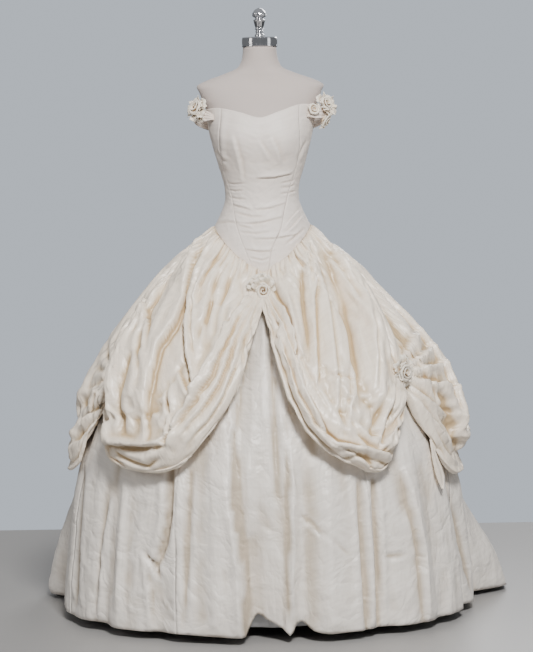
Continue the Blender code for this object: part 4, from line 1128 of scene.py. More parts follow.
def flute_depth(angle, z):
    """How far the underskirt's deepest folds go in: each fades out as it rises."""
    depth = 0 * angle
    for flute in FLUTES:
        across = np.exp(-(((angle - flute.angle) / (0.55 * flute.width)) ** 2))
        depth = depth + flute.depth * across * smooth((flute.top - z) / flute.top)
    leaning = angle + z / 0.5 * np.interp(angle, (-12, -4, 4, 12), (4.0, 4.0, -1.0, -1.0))
    recess = np.maximum(read(RECESS, "depth", leaning), 0)
    return depth + recess * (0.25 + 0.75 * smooth((0.55 - z) / 0.55)) * smooth((0.95 - z) / 0.15)


def gore_grid(gore):
    """A gore's smooth outer grid, and the angle of each point."""
    across, down = np.linspace(0, 1, GORE_COLUMNS), np.linspace(0, 1, GORE_ROWS)[:, None]
    tops = gore.start + (gore.end - gore.start) * across
    hems = gore.hem_start + (gore.hem_end - gore.hem_start) * across
    seam = basque(tops)
    top = seam - SEAM_ALLOWANCE
    z = top + (hem(hems) - top) * down
    angle = tops + (hems - tops) * down
    depth = read(INSETS, "underskirt", seam - z) + flute_depth(angle, z)
    points = skirt(angle, z) - outwards(sideways(skirt, angle, z)) * depth[..., None]
    points[..., 2] = z
    return points, angle


# %% Press the folds into the gores, settle them and make them
gore_grids, gore_angles = zip(*(gore_grid(gore) for gore in GORES.values()))
plain_ring, angle = sewn(gore_grids), sewn(gore_angles)
z = plain_ring[..., 2]
way_out = outwards(sideways(skirt, angle, z))
low = smooth((0.62 - z) / 0.3)
level = creases(np.radians(angle) * 0.55 / 0.075, z / 0.022, 14, 3) * smooth((0.34 - z) / 0.3)
height = 1.9 * pressed(plain_ring, UNDER_FOLDS) + crumpled(angle, z, 0.55) * (0.3 + 0.9 * low)
up = lengths(plain_ring, 0)[-1] - lengths(plain_ring, 0)
height = height - 0.0012 * np.exp(-(((up - 0.013) / 0.0035) ** 2))
opening = np.interp(z, (0.585, 0.690, 0.785, 0.890), (6.3, 3.8, 2.0, 0.7))
opening = 0.015 * np.exp(-((angle / opening) ** 2)) * smooth((z - 0.48) / 0.14)
height = height + opening
outermost = 0.006 + 0.02 * low + opening
clear = smooth((basque(angle) - 0.03 - z) / 0.1)
height = np.minimum(height, outermost) * clear
off_floor = np.minimum(1, 0.2 + z / 0.03)
ring_grid = plain_ring + way_out * (height * off_floor)[..., None]
held = 0.26 + 0 * z
held[:4] = held[:, :1] = held[:, -1:] = 1
spare_width = (0.035 + 0.02 * noise(np.radians(angle) / 0.3, z / 0.5, 8)) * clear
spare_length = -0.02 * clear
inside = 0.025 * clear * off_floor
outside = np.maximum(outermost * clear - height, 0) * off_floor
ring_grid = settle(ring_grid, spare_width, spare_length, held, inside, outside, 0.025)
ring_grid[..., 2] = np.maximum(ring_grid[..., 2], np.minimum(z, HEM_CLEAR))
ring_height = depth_from(plain_ring, ring_grid)
crisp = (crisped(ring_height, 5, 0.3) + 0.0016 * level + 0.5 * crumpled(angle, z, 0.55)) * clear * off_floor
ring_grid = ring_grid + way_out * np.clip(crisp, -0.008, 0.008)[..., None]
# painted shade: darker and warmer in the underskirt's folds and crumples
ring_painted_shade = 0.9 * painted_shade_from(ring_height + crisp, 0.007, 20) + 0.5 * painted_shade_from(ring_height + crisp, 0.016, 90)
for number, name in enumerate(GORES):
    columns = slice(number * (GORE_COLUMNS - 1), (number + 1) * (GORE_COLUMNS - 1) + 1)
    grid = ring_grid[:, columns]
    piece = sheet_object(name + "_silk", grid, ring_painted_shade[:, columns], UNDER_SILK, hem=up[:, columns])
    put_on(piece, [name])
    measured(name, grid)

# %% [markdown]
# ## The petticoat
# A plain cotton petticoat holds the skirt out. Only its hem is seen, in the recess in front, so its six
# panels are plain.

# %% Make the petticoat
PETTICOAT = {
    "petticoat_back_left": (-180, -120),
    "petticoat_side_left": (-120, -60),
    "petticoat_front_left": (-60, 0),
    "petticoat_front_right": (0, 60),
    "petticoat_side_right": (60, 120),
    "petticoat_back_right": (120, 180),
}
PETTICOAT_HEM = 0.03
for name, (start, end) in PETTICOAT.items():
    angle = np.linspace(start, end, 31) + np.zeros((31, 1))
    seam = basque(angle)
    top = seam - 2 * SEAM_ALLOWANCE
    z = top + (PETTICOAT_HEM - top) * np.linspace(0, 1, 31)[:, None]
    out = outwards(sideways(skirt, angle, z))
    depth = read(INSETS, "petticoat", seam - z)
    soft = 0.006 * np.sin(np.radians(angle) * 26) * smooth((0.8 - z) / 0.5)
    grid = skirt(angle, z) + out * (soft - depth)[..., None]
    grid[..., 2] = z
    # painted shade in the petticoat's soft ripples
    piece = sheet_object(name + "_cotton", grid, 0.5 * painted_shade_from(soft), COTTON)
    put_on(piece, [name])
    measured(name, grid)

# %% [markdown]
# ## The bodice
# The bodice is close fitted and cut in seven panels, with a matte side of the silk outwards. It is worn, so
# it has drag wrinkles across the waist and short folds under the bust. Each panel dips at its seams, where
# the cloth is turned in.

# %% The bodice's panels
Edge = namedtuple("Edge", "angle z")
NECKLINE = [
    Edge(-180, 1.402),
    Edge(-150, 1.404),
    Edge(-120, 1.414),
    Edge(-95, 1.428),
    Edge(-70, 1.437),
    Edge(-43, 1.438),
    Edge(-20, 1.425),
    Edge(0, 1.4105),
    Edge(20, 1.428),
    Edge(42, 1.446),
    Edge(70, 1.441),
    Edge(95, 1.428),
    Edge(120, 1.414),
    Edge(150, 1.404),
    Edge(180, 1.402),
]
Princess = namedtuple("Princess", "z left right back")
PRINCESS = [
    Princess(0.98, -9, 5, 150),
    Princess(1.045, -20, 10, 150),
    Princess(1.10, -31, 22, 150),
    Princess(1.14, -42, 31, 148),
    Princess(1.18, -54, 42, 146),
    Princess(1.22, -62, 50, 144),
    Princess(1.26, -65, 54, 143),
    Princess(1.31, -60, 53, 143),
    Princess(1.37, -52, 47, 143),
    Princess(1.445, -43, 42, 143),
]
BODICE_FOLDS = [
    Fold([(234.8, 136), (238, 148), (242, 163), (244, 180)], 3.4, 2.6, 1),
    Fold([(272.5, 137), (278, 149), (282.5, 163)], 3.2, 2.6, 1),
    Fold([(259, 139), (265, 149), (271, 159)], 2.6, 1.9, 1),
    Fold([(225, 112), (223, 132), (224, 152), (228, 170)], 3.2, 2.0, 2),
    Fold([(257, 178), (274, 177), (292, 173)], 2.4, 2.4, -1),
    Fold([(228, 183), (236, 184), (246, 183)], 1.2, 1.2, 0),
    Fold([(229, 190), (236, 191), (244, 190)], 1.2, 1.2, 0),
    Fold([(230, 197), (238, 199), (246, 199)], 1.3, 1.2, 0),
    Fold([(280, 183), (287, 182), (293, 180)], 1.2, 1.3, 0),
    Fold([(281, 188), (288, 187), (294, 185)], 1.2, 1.2, 0),
    Fold([(280, 194), (287, 193), (295, 191)], 1.3, 1.3, 0),
    Fold([(233, 204.6), (242, 207), (252, 209.8)], 1.8, 2.2, -1),
    Fold([(254, 209.6), (270, 208), (287, 202.5)], 1.8, 1.9, -1),
    Fold([(236, 213), (252, 217), (266, 217)], 1.5, 1.2, 0),
    Fold([(236, 222.8), (246, 223.8), (261, 222.4), (285, 216.3)], 1.9, 2.4, -1),
    Fold([(238, 224.6), (244, 226), (252, 228)], 1.4, 1.8, -1),
    Fold([(254, 238.8), (276, 238.2), (299, 234)], 1.7, 2.0, -1),
    Fold([(240, 232), (256, 234), (270, 232)], 1.5, 1.1, 0),
    Fold([(245, 249.2), (259, 251.2), (275, 250.8)], 1.7, 2.2, -1),
    Fold([(250, 258), (262, 260.5), (271, 258)], 1.4, 1.1, 0),
    Fold([(285.5, 232.8), (293, 226), (301.3, 216)], 1.8, 1.9, 1),
    Fold([(284, 227), (290, 219), (298, 210)], 1.6, 1.6, 1),
    Fold([(286, 244), (294, 238), (304, 229)], 1.8, 1.4, 0),
    Fold([(217, 224), (228, 222), (238, 223)], 1.8, 1.2, 0),
    Fold([(216, 150), (222, 158), (228, 162)], 2.0, 1.2, 0),
    Fold([(306, 140), (300, 152), (296, 160)], 2.0, 1.2, 0),
]
PANELS = {
    "bodice_back_left": (-180, -150),
    "bodice_side_back_left": (-150, -90),
    "bodice_side_front_left": (-90, -10),
    "bodice_front": (-10, 5),
    "bodice_side_front_right": (5, 90),
    "bodice_side_back_right": (90, 150),
    "bodice_back_right": (150, 180),
}
SEAM_LINES = {
    -180: lambda z: -180 + 0 * z,
    -150: lambda z: -read(PRINCESS, "back", z),
    -90: lambda z: -90 + 0 * z,
    -10: lambda z: read(PRINCESS, "left", z),
    5: lambda z: read(PRINCESS, "right", z),
    90: lambda z: 90 + 0 * z,
    150: lambda z: read(PRINCESS, "back", z),
    180: lambda z: 180 + 0 * z,
}


def panel_angles(start, end, rows, columns):
    """The angle and height of each point of a bodice panel, from the neckline down to the basque seam."""
    left, right = SEAM_LINES[start], SEAM_LINES[end]
    across = np.linspace(0, 1, columns)
    feet = start + (end - start) * across
    low = basque(feet)
    tops = left(np.array(1.44)) + (right(np.array(1.44)) - left(np.array(1.44))) * across
    up = np.linspace(1, 0, rows)[:, None]
    z = low + (read(NECKLINE, "z", tops) - low) * up
    angle = left(z) + (right(z) - left(z)) * across
    foot = left(low) + (right(low) - left(low)) * across
    return angle + (feet - foot) * (1 - up) ** 4, z, across


def worn(angle, z):
    """Soft level wrinkles of a bodice that has been worn: most of them at the waist and below it."""
    x = np.radians(angle) * 0.12
    waist = np.exp(-(((z - 1.17) / 0.07) ** 2)) + 0.35
    hidden = smooth((np.abs(angle) - 75) / 25)
    long = creases(x / 0.075, z / 0.018, 21, 2) * waist * (0.35 + 0.65 * hidden)
    return 0.0011 * long + 0.0005 * creases(x / 0.02, z / 0.02, 27, 2)


# %% Make the bodice
for name, (start, end) in PANELS.items():
    size = (151, 57) if "front" in name else (71, 31)
    angle, z, across = panel_angles(start, end, *size)
    smooth_grid = figure(angle, z)
    out = normals_of(smooth_grid)
    wide = lengths(smooth_grid, 1)
    edge = np.minimum(wide, wide[:, -1:] - wide)
    height = 2.6 * pressed(smooth_grid, BODICE_FOLDS) + 1.8 * worn(angle, z)
    height = np.clip(height, -0.0028, 0.0070) * smooth(edge / 0.006)
    seam_dip = 0.0005 * np.exp(-((edge / 0.0018) ** 2))
    grid = smooth_grid + out * (CLOTH + height - seam_dip)[..., None]
    # painted shade in the wrinkles and along the seam dips
    painted_shade = np.clip(painted_shade_from(height, 0.0022) * 0.5 + 0.10 * np.exp(-((edge / 0.0012) ** 2)), 0, 1)
    piece = sheet_object(name + "_silk", grid, painted_shade, MATTE_SILK)
    put_on(piece, [name])
    measured(name, grid)

# %% Make the placket
angle = 180 + np.linspace(-7, 7, 31) + np.zeros((111, 1))
low = float(basque(np.array(180.0))) + SEAM
top = float(read(NECKLINE, "z", 180))
z = top + (low - top) * np.linspace(0, 1, 111)[:, None] + 0 * angle
smooth_grid = figure(angle, z)
out = normals_of(smooth_grid)
ripple = 0.0005 * creases(np.radians(angle) * 0.1 / 0.02, z / 0.03, 33, 2)
grid = smooth_grid + out * (2 * CLOTH + SEAM + ripple)[..., None]
# painted shade in the placket's ripples
piece = sheet_object("bodice_placket_silk", grid, 0.4 * painted_shade_from(ripple, 0.001), MATTE_SILK)
put_on(piece, ["bodice_placket"])
measured("bodice_placket", grid)
# %% [markdown]
# ## The sleeve bands
# Each sleeve is one narrow band off the shoulder, sewn to the bodice in front and behind. The silk is
# doubled and pleated along its length, and a little shorter at its ends, where it is drawn into the seam.

# %% Make the sleeve bands
Sleeve = namedtuple("Sleeve", "side front_angle back_angle reach top tall drop rise")
SLEEVES = {
    "sleeve_left": Sleeve(-1, 57, 126, 0.056, 1.432, 0.036, 0.028, 0.016),
    "sleeve_right": Sleeve(1, 56, 126, 0.056, 1.436, 0.036, 0.030, 0.016),
}
SLEEVE_OFF = CLOTH + 0.0016
SLEEVE_SLOPE = 0.08


def sleeve_grid(sleeve):
    """The band's outer grid: half a loop from the bodice's front to its back, rows downwards."""
    turn = np.linspace(0, math.pi, 81)
    share = np.linspace(0, 1, 31)[:, None]
    ends = []
    for angle, low in ((sleeve.front_angle, 0), (sleeve.back_angle, sleeve.drop)):
        around, height = np.full((31, 1), float(angle * sleeve.side)), sleeve.top - share * sleeve.tall - low
        ends.append(figure(around, height) + outwards(sideways(figure, around, height)) * SLEEVE_OFF)
    drawn_in = 0.45 + 0.55 * smooth(np.sin(turn) / 0.55)
    ends = [end.mean(axis=0) + (end[:, None] - end.mean(axis=0)) * drawn_in[:, None] for end in (e[:, 0] for e in ends)]
    middle = (ends[0] + ends[1]) / 2
    grid = middle + (ends[0] - middle) * np.cos(turn)[None, :, None]
    grid[..., 0] += sleeve.side * sleeve.reach * (1 + SLEEVE_SLOPE * share) * np.sin(turn)
    grid[..., 2] += sleeve.rise * np.sin(turn)
    return grid[:, :: sleeve.side], turn[None, :: sleeve.side], share


for name, sleeve in SLEEVES.items():
    grid, turn, share = sleeve_grid(sleeve)
    bend = share + 0.05 * np.sin(turn * 3.1 + sleeve.side)
    pleats = 0.0022 * np.abs(np.sin(math.pi * (bend * 3.6 + 0.3 * noise(turn * 2.2, share * 2, 41)))) ** 0.8
    drawn = 0.0012 * creases(turn * 5, share * 1.5, 44, 2)
    height = (pleats + drawn) * smooth(np.sin(turn) / 0.35) + CLOTH * 0.9
    grid = grid + normals_of(grid) * height[..., None]
    # painted shade: in the pleats, and strongest at the band's ends where it goes into the seam
    shade = 0.9 * painted_shade_from(height, 0.002) + 0.75 * np.exp(-((np.sin(turn) / 0.35) ** 2))
    piece = sheet_object(name + "_silk", grid, np.clip(shade, 0, 1), MATTE_SILK)
    put_on(piece, [name])
    measured(name, grid)

# %% [markdown]
# ## Fabric roses
# A fabric rose is a folded strip that is rolled up from its middle and sewn through its foot. So each rose
# here is one ribbon on a spiral, whose rim opens outwards and rolls over, and its outer turns break into
# petals. Loose petals are tucked behind it. The foot of each turn, deep inside the rose, gets painted shade.

# %% Roses
Rose = namedtuple("Rose", "facing tip radius tall turns petals spin")
Petal = namedtuple("Petal", "turn long wide lift")
ROSES = {
    "sleeve_rose_left_main": Rose(-50, 20, 0.0260, 0.020, 2.6, 5, 20),
    "sleeve_rose_left_bud": Rose(-30, -20, 0.0140, 0.014, 2.1, 3, 80),
    "sleeve_rose_right_main": Rose(50, 20, 0.0230, 0.020, 2.5, 5, 140),
    "sleeve_rose_right_small": Rose(18, 10, 0.0175, 0.014, 2.1, 3, 10),
    "sleeve_rose_right_side": Rose(70, -25, 0.0200, 0.018, 2.1, 5, 200),
    "rosette_front": Rose(0, 8, 0.0225, 0.021, 2.2, 5, 45),
    "rosette_left": Rose(-92, 0, 0.0210, 0.020, 2.3, 3, 70),
    "rosette_right": Rose(50, 0, 0.0300, 0.022, 2.8, 5, 110),
}
ROSE_ROWS, ROSE_STEPS = 19, 40


def rose_ribbon(rose, seed):
    """The spiral ribbon, rows from its foot to its rolled rim, in its own frame with +Z out of the rose."""
    steps = int(rose.turns * ROSE_STEPS)
    t = np.linspace(0, 1, steps + 1)
    v = np.linspace(1, 0, ROSE_ROWS)[:, None]
    turn = t * rose.turns * math.tau + math.radians(rose.spin)
    wave = noise(turn * 0.95, seed, seed) * (0.3 + 0.7 * t)
    frill = noise(turn * 4.1, seed + 3, seed) * (0.35 + 0.65 * t)
    foot = rose.radius * (0.06 + 0.50 * t)
    rim = rose.radius * (0.15 + 0.79 * t) * (1 + 0.26 * wave)
    open_up = v**1.7
    away = foot + (rim - foot) * open_up + rose.radius * 0.16 * t * smooth((v - 0.72) / 0.28)
    away = away + rose.radius * 0.07 * frill * v
    tall = rose.tall * (1.04 - 0.34 * t**1.5) * (1 + 0.08 * noise(turn * 1.3, seed + 9, seed))
    height = tall * (1 - (1 - v) ** 1.5) - rose.tall * 0.20 * (0.25 + t) * smooth((v - 0.8) / 0.2) ** 2
    return np.stack([away * np.cos(turn), away * np.sin(turn), height + 0 * away], axis=-1), v + 0 * away


def petal_grid(rose, turn, long, wide, lift, seed):
    """One loose petal: narrow at its foot, cupped, with a rolled and uneven rim."""
    u, v = np.linspace(-1, 1, 17), np.linspace(1, 0, 13)[:, None]
    half = wide * (0.35 + 0.65 * v**0.7) * np.sqrt(np.clip(1 - (u * (0.25 + 0.75 * v)) ** 2 * 0.35, 0, 1))
    rim = 1 - 0.16 * u**2 + 0.12 * noise(u * 2.6, v * 0.4, seed)
    away = rose.radius * (0.22 + long * v * rim)
    across = rose.radius * half * u
    curl = smooth((v * rim - 0.72) / 0.28)
    height = rose.tall * (lift * v**1.3 + 0.30 * u**2 * v - 0.34 * curl) + 0.0018 * np.sin(u * 7 + seed) * v
    angle = math.radians(turn)
    x = away * math.cos(angle) - across * math.sin(angle)
    y = away * math.sin(angle) + across * math.cos(angle)
    return np.stack([x, y, height + 0 * x], axis=-1), v + 0 * x


def stood(grid, name, rose):
    """Turns a grid in the rose's own frame to its facing and puts it where its solid is."""
    low, high = (np.array(corner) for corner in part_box(name))
    facing, tip = math.radians(rose.facing), math.radians(rose.tip)
    out = np.array([math.sin(facing), -math.cos(facing), 0.0])
    side = np.array([math.cos(facing), math.sin(facing), 0.0])
    up = np.array([0.0, 0.0, 1.0])
    lean, top = out * math.cos(tip) + up * math.sin(tip), up * math.cos(tip) - out * math.sin(tip)
    foot = (low + high) / 2 - out * rose.tall * 0.5
    return foot + grid[..., :1] * side + grid[..., 1:2] * top + grid[..., 2:] * lean


def joined(pieces, name):
    """Joins meshes into one object, as by hand."""
    bpy.ops.object.select_all(action="DESELECT")
    for piece in pieces:
        piece.select_set(True)
    bpy.context.view_layer.objects.active = pieces[0]
    bpy.ops.object.join()
    pieces[0].name = name
    return pieces[0]


# %% Make the roses
LEAVES = {
    "rosette_front": [
        Petal(118, 2.05, 1.25, 0.85),
        Petal(84, 1.85, 1.00, 0.75),
        Petal(148, 1.95, 0.95, 0.70),
        Petal(104, 1.45, 1.05, 1.05),
        Petal(134, 1.40, 0.90, 1.00),
        Petal(56, 1.55, 0.90, 0.75),
        Petal(20, 1.35, 0.70, 0.60),
        Petal(184, 1.45, 0.70, 0.50),
        Petal(300, 1.15, 0.60, 0.35),
    ],
    "sleeve_rose_left_main": [
        Petal(335, 1.45, 0.85, 0.45),
        Petal(20, 1.20, 0.80, 0.45),
        Petal(120, 1.15, 0.90, 0.45),
        Petal(200, 1.25, 0.90, 0.40),
        Petal(285, 1.25, 0.85, 0.35),
    ],
    "sleeve_rose_right_main": [
        Petal(5, 1.75, 0.90, 0.55),
        Petal(325, 1.80, 0.95, 0.45),
        Petal(285, 1.50, 0.85, 0.40),
        Petal(60, 1.35, 0.90, 0.50),
        Petal(150, 1.25, 0.80, 0.40),
    ],
    "sleeve_rose_right_side": [Petal(20, 1.60, 0.90, 0.50), Petal(70, 1.50, 0.90, 0.45), Petal(270, 1.20, 0.80, 0.30)],
    "rosette_right": [
        Petal(60, 1.25, 0.6, 0.4),
        Petal(100, 1.45, 0.6, 0.35),
        Petal(150, 1.40, 0.7, 0.4),
        Petal(200, 1.15, 0.6, 0.4),
        Petal(290, 1.20, 0.7, 0.35),
    ],
    "rosette_left": [
        Petal(95, 1.30, 0.8, 0.5),
        Petal(230, 1.15, 0.8, 0.4),
    ],
}
for number, (name, rose) in enumerate(ROSES.items()):
    parts = [rose_ribbon(rose, number + 2)]
    for k in range(rose.petals):
        turn = rose.spin + 360 * (k + 0.35 * float(scatter(k, number, 6))) / rose.petals
        parts.append(petal_grid(rose, turn, 0.74, 0.62, 0.62, number * 7 + k))
    for leaf in LEAVES.get(name, []):
        parts.append(petal_grid(rose, *leaf, number * 7 + leaf.turn))
    made = []
    for grid, v in parts:
        placed = stood(grid, name, rose)
        # painted shade: darker towards the foot of each turn and petal
        made.append(sheet_object("petal", placed, 0.95 * (1 - v) ** 1.2, ROSE_SILK, behind=0.0006))
    piece = joined(made, name + "_silk")
    put_on(piece, [name])
    measured(name, parts[0][0])

# %% [markdown]
# ## The tie's tail
# Below the rose at the right, the tie that picks the skirt up hangs down as a folded strip.

# %% Make the tie's tail
Tail = namedtuple("Tail", "along angle z half")
TAIL = [
    Tail(0.00, 60.6, 0.512, 0.006),
    Tail(0.15, 60.4, 0.492, 0.009),
    Tail(0.50, 60.2, 0.455, 0.018),
    Tail(0.80, 60.6, 0.408, 0.022),
    Tail(1.00, 59.8, 0.376, 0.003),
]
along = np.linspace(0, 1, 61)[:, None]
across = np.linspace(-1, 1, 31)
angle, z = read(TAIL, "angle", along), read(TAIL, "z", along)
run = sideways(skirt, angle, z)
fold = 0.0045 * (1 - np.abs(across + 0.35)) + 0.003 * np.exp(-(((across - 0.5) / 0.22) ** 2))
fold = fold + 0.0014 * creases(across * 1.2, along * 5, 51, 2)
grid = skirt(angle, z) + run * (read(TAIL, "half", along) * across)[..., None]
grid = grid + outwards(run) * (0.045 + fold + 0 * along)[..., None]
way = outwards(run)[24, 0]
solid = (np.array(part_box("tie_right")[0]) + np.array(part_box("tie_right")[1])) / 2
middle = (grid.reshape(-1, 3).min(axis=0) + grid.reshape(-1, 3).max(axis=0)) / 2
grid = grid + way * ((solid - middle) @ way)
# painted shade in the tail's folds
piece = sheet_object("tie_right_silk", grid, 0.9 * painted_shade_from(fold + 0 * along, 0.003), SILK)
put_on(piece, ["tie_right"])
measured("tie_right", grid)

# %% [markdown]
# ## The form and its stand
# The body is padded and covered with a fine knitted jersey, whose only seams in sight are the collar's and
# the ones over the shoulders. The cap, the finial, the pole and the base are turned metal: a circle is
# extruded and resized up its profile, as by hand.

# %% Jersey and metals
def jersey_finish(name):
    """A fine knit: rows of tiny loops on object coordinates, slightly uneven in colour."""
    made = bpy.data.materials.new(name)
    made.use_nodes = True
    tree = made.node_tree
    shader = tree.nodes["Principled BSDF"]
    shader.inputs["Roughness"].default_value = 0.88
    shader.inputs["Sheen Weight"].default_value = 0.25
    spot = node(tree, "ShaderNodeTexCoord").outputs["Object"]
    cloudy = node(tree, "ShaderNodeTexNoise", [("Vector", spot), ("Scale", 9.0), ("Detail", 3.0)]).outputs[0]
    tone = node(tree, "ShaderNodeMix", [(0, cloudy)], data_type="RGBA")
    tone.inputs[6].default_value = (0.475, 0.41, 0.38, 1)
    tone.inputs[7].default_value = (0.535, 0.47, 0.44, 1)
    tree.links.new(tone.outputs[2], shader.inputs["Base Color"])
    ribs = node(tree, "ShaderNodeTexWave", [("Vector", spot), ("Scale", 260.0), ("Distortion", 0.6)])
    ribs.bands_direction = "Z"
    grain = node(tree, "ShaderNodeTexNoise", [("Vector", spot), ("Scale", 1400.0)]).outputs[0]
    both = node(tree, "ShaderNodeMath", [(0, ribs.outputs[1]), (1, grain)], operation="ADD").outputs[0]
    knit = node(tree, "ShaderNodeBump", [("Height", both), ("Strength", 0.2), ("Distance", 0.0005)])
    tree.links.new(knit.outputs[0], shader.inputs["Normal"])
    return made


def metal_finish(name, colour, roughness, spread, metallic=1.0, coat=0.0):
    """Metal or enamel: its roughness varies with fine scratches and a soft cloudiness of handling."""
    made = bpy.data.materials.new(name)
    made.use_nodes = True
    tree = made.node_tree
    shader = tree.nodes["Principled BSDF"]
    shader.inputs["Base Color"].default_value = (*colour, 1)
    shader.inputs["Metallic"].default_value = metallic
    shader.inputs["Coat Weight"].default_value = coat
    spot = node(tree, "ShaderNodeTexCoord").outputs["Object"]
    cloudy = node(tree, "ShaderNodeTexNoise", [("Vector", spot), ("Scale", 60.0), ("Detail", 6.0)]).outputs[0]
    rough = node(tree, "ShaderNodeMapRange", [("Value", cloudy), ("From Min", 0.3), ("From Max", 0.7)])
    rough.inputs["To Min"].default_value = roughness - spread
    rough.inputs["To Max"].default_value = roughness + spread
    tree.links.new(rough.outputs[0], shader.inputs["Roughness"])
    fine = node(tree, "ShaderNodeTexNoise", [("Vector", spot), ("Scale", 900.0), ("Detail", 2.0)]).outputs[0]
    worn_in = node(tree, "ShaderNodeBump", [("Height", fine), ("Strength", 0.05), ("Distance", 0.0004)])
    tree.links.new(worn_in.outputs[0], shader.inputs["Normal"])
    return made


JERSEY = jersey_finish("form jersey cover")
CHROME = metal_finish("polished chrome", (0.80, 0.80, 0.82), 0.10, 0.05)
STEEL = metal_finish("brushed steel", (0.50, 0.50, 0.51), 0.34, 0.08)
IRON = metal_finish("black enamel", (0.025, 0.025, 0.028), 0.32, 0.07, metallic=0.0, coat=0.3)
print("metals", CHROME.name, STEEL.name, IRON.name)

# %% Make the padded body
FORM_LEVELS, FORM_TURNS = 131, 128
round_angles = np.linspace(-180, 180, FORM_TURNS, endpoint=False)
levels = np.linspace(0.84, 1.61, FORM_LEVELS)[:, None]
angle, z = round_angles + 0 * levels, levels + 0 * round_angles
shape = figure(angle, z)
out = outwards(sideways(figure, angle, z))
collar = 1.5525 - 0.028 * np.cos(np.radians(angle))
seam_dip = 0.0012 * np.exp(-(((z - collar) / 0.0022) ** 2))
soft = 0.0004 * creases(np.radians(angle) * 1.6, z / 0.06, 61, 2)
shape = shape - out * (FORM_GAP + seam_dip - soft)[..., None]
count = FORM_TURNS * FORM_LEVELS
index = np.arange(count).reshape(FORM_LEVELS, FORM_TURNS)
after = np.roll(index, -1, axis=1)
sides = np.stack([index[:-1], after[:-1], after[1:], index[1:]], axis=-1).reshape(-1, 4)
mesh = bpy.data.meshes.new("form_body")
mesh.from_pydata(shape.reshape(-1, 3).tolist(), [], sides.tolist() + [index[0, ::-1].tolist(), index[-1].tolist()])
mesh.polygons.foreach_set("use_smooth", [True] * (len(sides)) + [False, False])
mesh.materials.append(JERSEY)
body = bpy.data.objects.new("form_body_jersey", mesh)
bpy.context.scene.collection.objects.link(body)
put_on(body, ["form_torso"])
print("collar seen at", picture_place(figure(0, 1.54)).round(1), picture_place(figure(85, 1.5525)).round(1))


# %% Turned pieces
def turned(name, profile, bottom, finish, sides=64, bevel=0.0):
    """A solid of revolution: a filled circle, extruded and resized up its profile of radius and height."""
    bpy.ops.object.select_all(action="DESELECT")
    radius, height = profile[0]
    bpy.ops.mesh.primitive_circle_add(vertices=sides, radius=radius, fill_type="NGON", location=(0, 0, bottom + height))
    made = bpy.context.object
    bpy.ops.object.mode_set(mode="EDIT")
    for (radius, height), (wide, high) in zip(profile, profile[1:]):
        bpy.ops.mesh.extrude_region_move(TRANSFORM_OT_translate={"value": (0, 0, high - height)})
        bpy.ops.transform.resize(value=(wide / radius, wide / radius, 1), center_override=(0, 0, bottom + high))
    bpy.ops.mesh.select_all(action="SELECT")
    bpy.ops.mesh.normals_make_consistent(inside=False)
    bpy.ops.object.mode_set(mode="OBJECT")
    made.name = name
    made.data.name = name
    bpy.ops.object.transform_apply(location=True, rotation=True, scale=True)
    bpy.ops.object.shade_smooth_by_angle(angle=math.radians(32))
    if bevel:
        rounding = made.modifiers.new("rounded edges", "BEVEL")
        rounding.width, rounding.segments, rounding.limit_method = bevel, 3, "ANGLE"
        rounding.angle_limit = math.radians(40)
        bpy.ops.object.modifier_apply(modifier=rounding.name)
    made.data.materials.append(finish)
    return made


def rounded_profile(points, between=6):
    """The same profile with more points, on a smooth curve through the ones given."""
    heights = np.array([height for radius, height in points])
    rows = [Turned(height, radius) for radius, height in points]
    fine = np.concatenate([np.linspace(a, b, between, endpoint=False) for a, b in zip(heights, heights[1:])])
    fine = np.append(fine, heights[-1])
    return [(float(radius), float(height)) for radius, height in zip(read(rows, "radius", fine), fine)]


Turned = namedtuple("Turned", "height radius")
FINIAL = [
    (0.0125, 0.0000),
    (0.0135, 0.0040),
    (0.0120, 0.0085),
    (0.0095, 0.0110),
    (0.0112, 0.0145),
    (0.0112, 0.0170),
    (0.0095, 0.0195),
    (0.0125, 0.0225),
    (0.0115, 0.0255),
    (0.0135, 0.0340),
    (0.0160, 0.0450),
    (0.0165, 0.0485),
    (0.0115, 0.0515),
    (0.0115, 0.0540),
    (0.0185, 0.0585),
    (0.0194, 0.0625),
    (0.0160, 0.0715),
    (0.0085, 0.0795),
    (0.0020, 0.0825),
]
BASE = [
    (0.19, 0.0),
    (0.19, 0.010),
    (0.182, 0.014),
    (0.090, 0.018),
    (0.030, 0.024),
    (0.022, 0.034),
]

# %% Make the cap, the finial and the stand
cap_profile = [(0.0485, 0.0), (0.050, 0.0012), (0.050, 0.0040), (0.0488, 0.0048), (0.0488, 0.0062), (0.050, 0.0070)]
cap_profile += [(0.050, 0.0215), (0.0488, 0.0223), (0.0488, 0.0237), (0.050, 0.0245), (0.0485, 0.0266)]
cap_profile += [(0.046, 0.0270)]
cap = turned("form_cap_chrome", cap_profile, 1.6103, CHROME, 96)
finial = turned("form_finial_chrome", rounded_profile(FINIAL), 1.6376, CHROME, 96)
for vertex in finial.data.vertices:
    height = vertex.co.z - 1.6376
    around = math.atan2(vertex.co.y, vertex.co.x)
    flutes = 0.07 * abs(math.sin(around * 6)) * float(smooth((height - 0.027) / 0.006) * smooth((0.047 - height) / 0.005))
    row = (height - 0.058) / 0.0062
    shift = math.pi / 9 * (math.floor(row) % 2)
    bulge = abs(math.cos((around + shift) * 4.5)) * math.sin(math.pi * (row - math.floor(row)))
    scales = 0.07 * bulge * float(smooth((height - 0.057) / 0.002) * smooth((0.080 - height) / 0.003))
    grow = 1 - flutes + scales
    vertex.co.x *= grow
    vertex.co.y *= grow
flange = turned("stand_flange_steel", [(0.052, 0.0), (0.055, 0.003), (0.055, 0.008)], 0.8317, STEEL, 64, 0.0008)
pole = turned("stand_pole_chrome", [(0.0125, 0.0), (0.0125, 0.7971)], 0.0343, CHROME, 48, 0.0006)
base = turned("stand_base_iron", rounded_profile(BASE, 4), 0.0, IRON, 96)
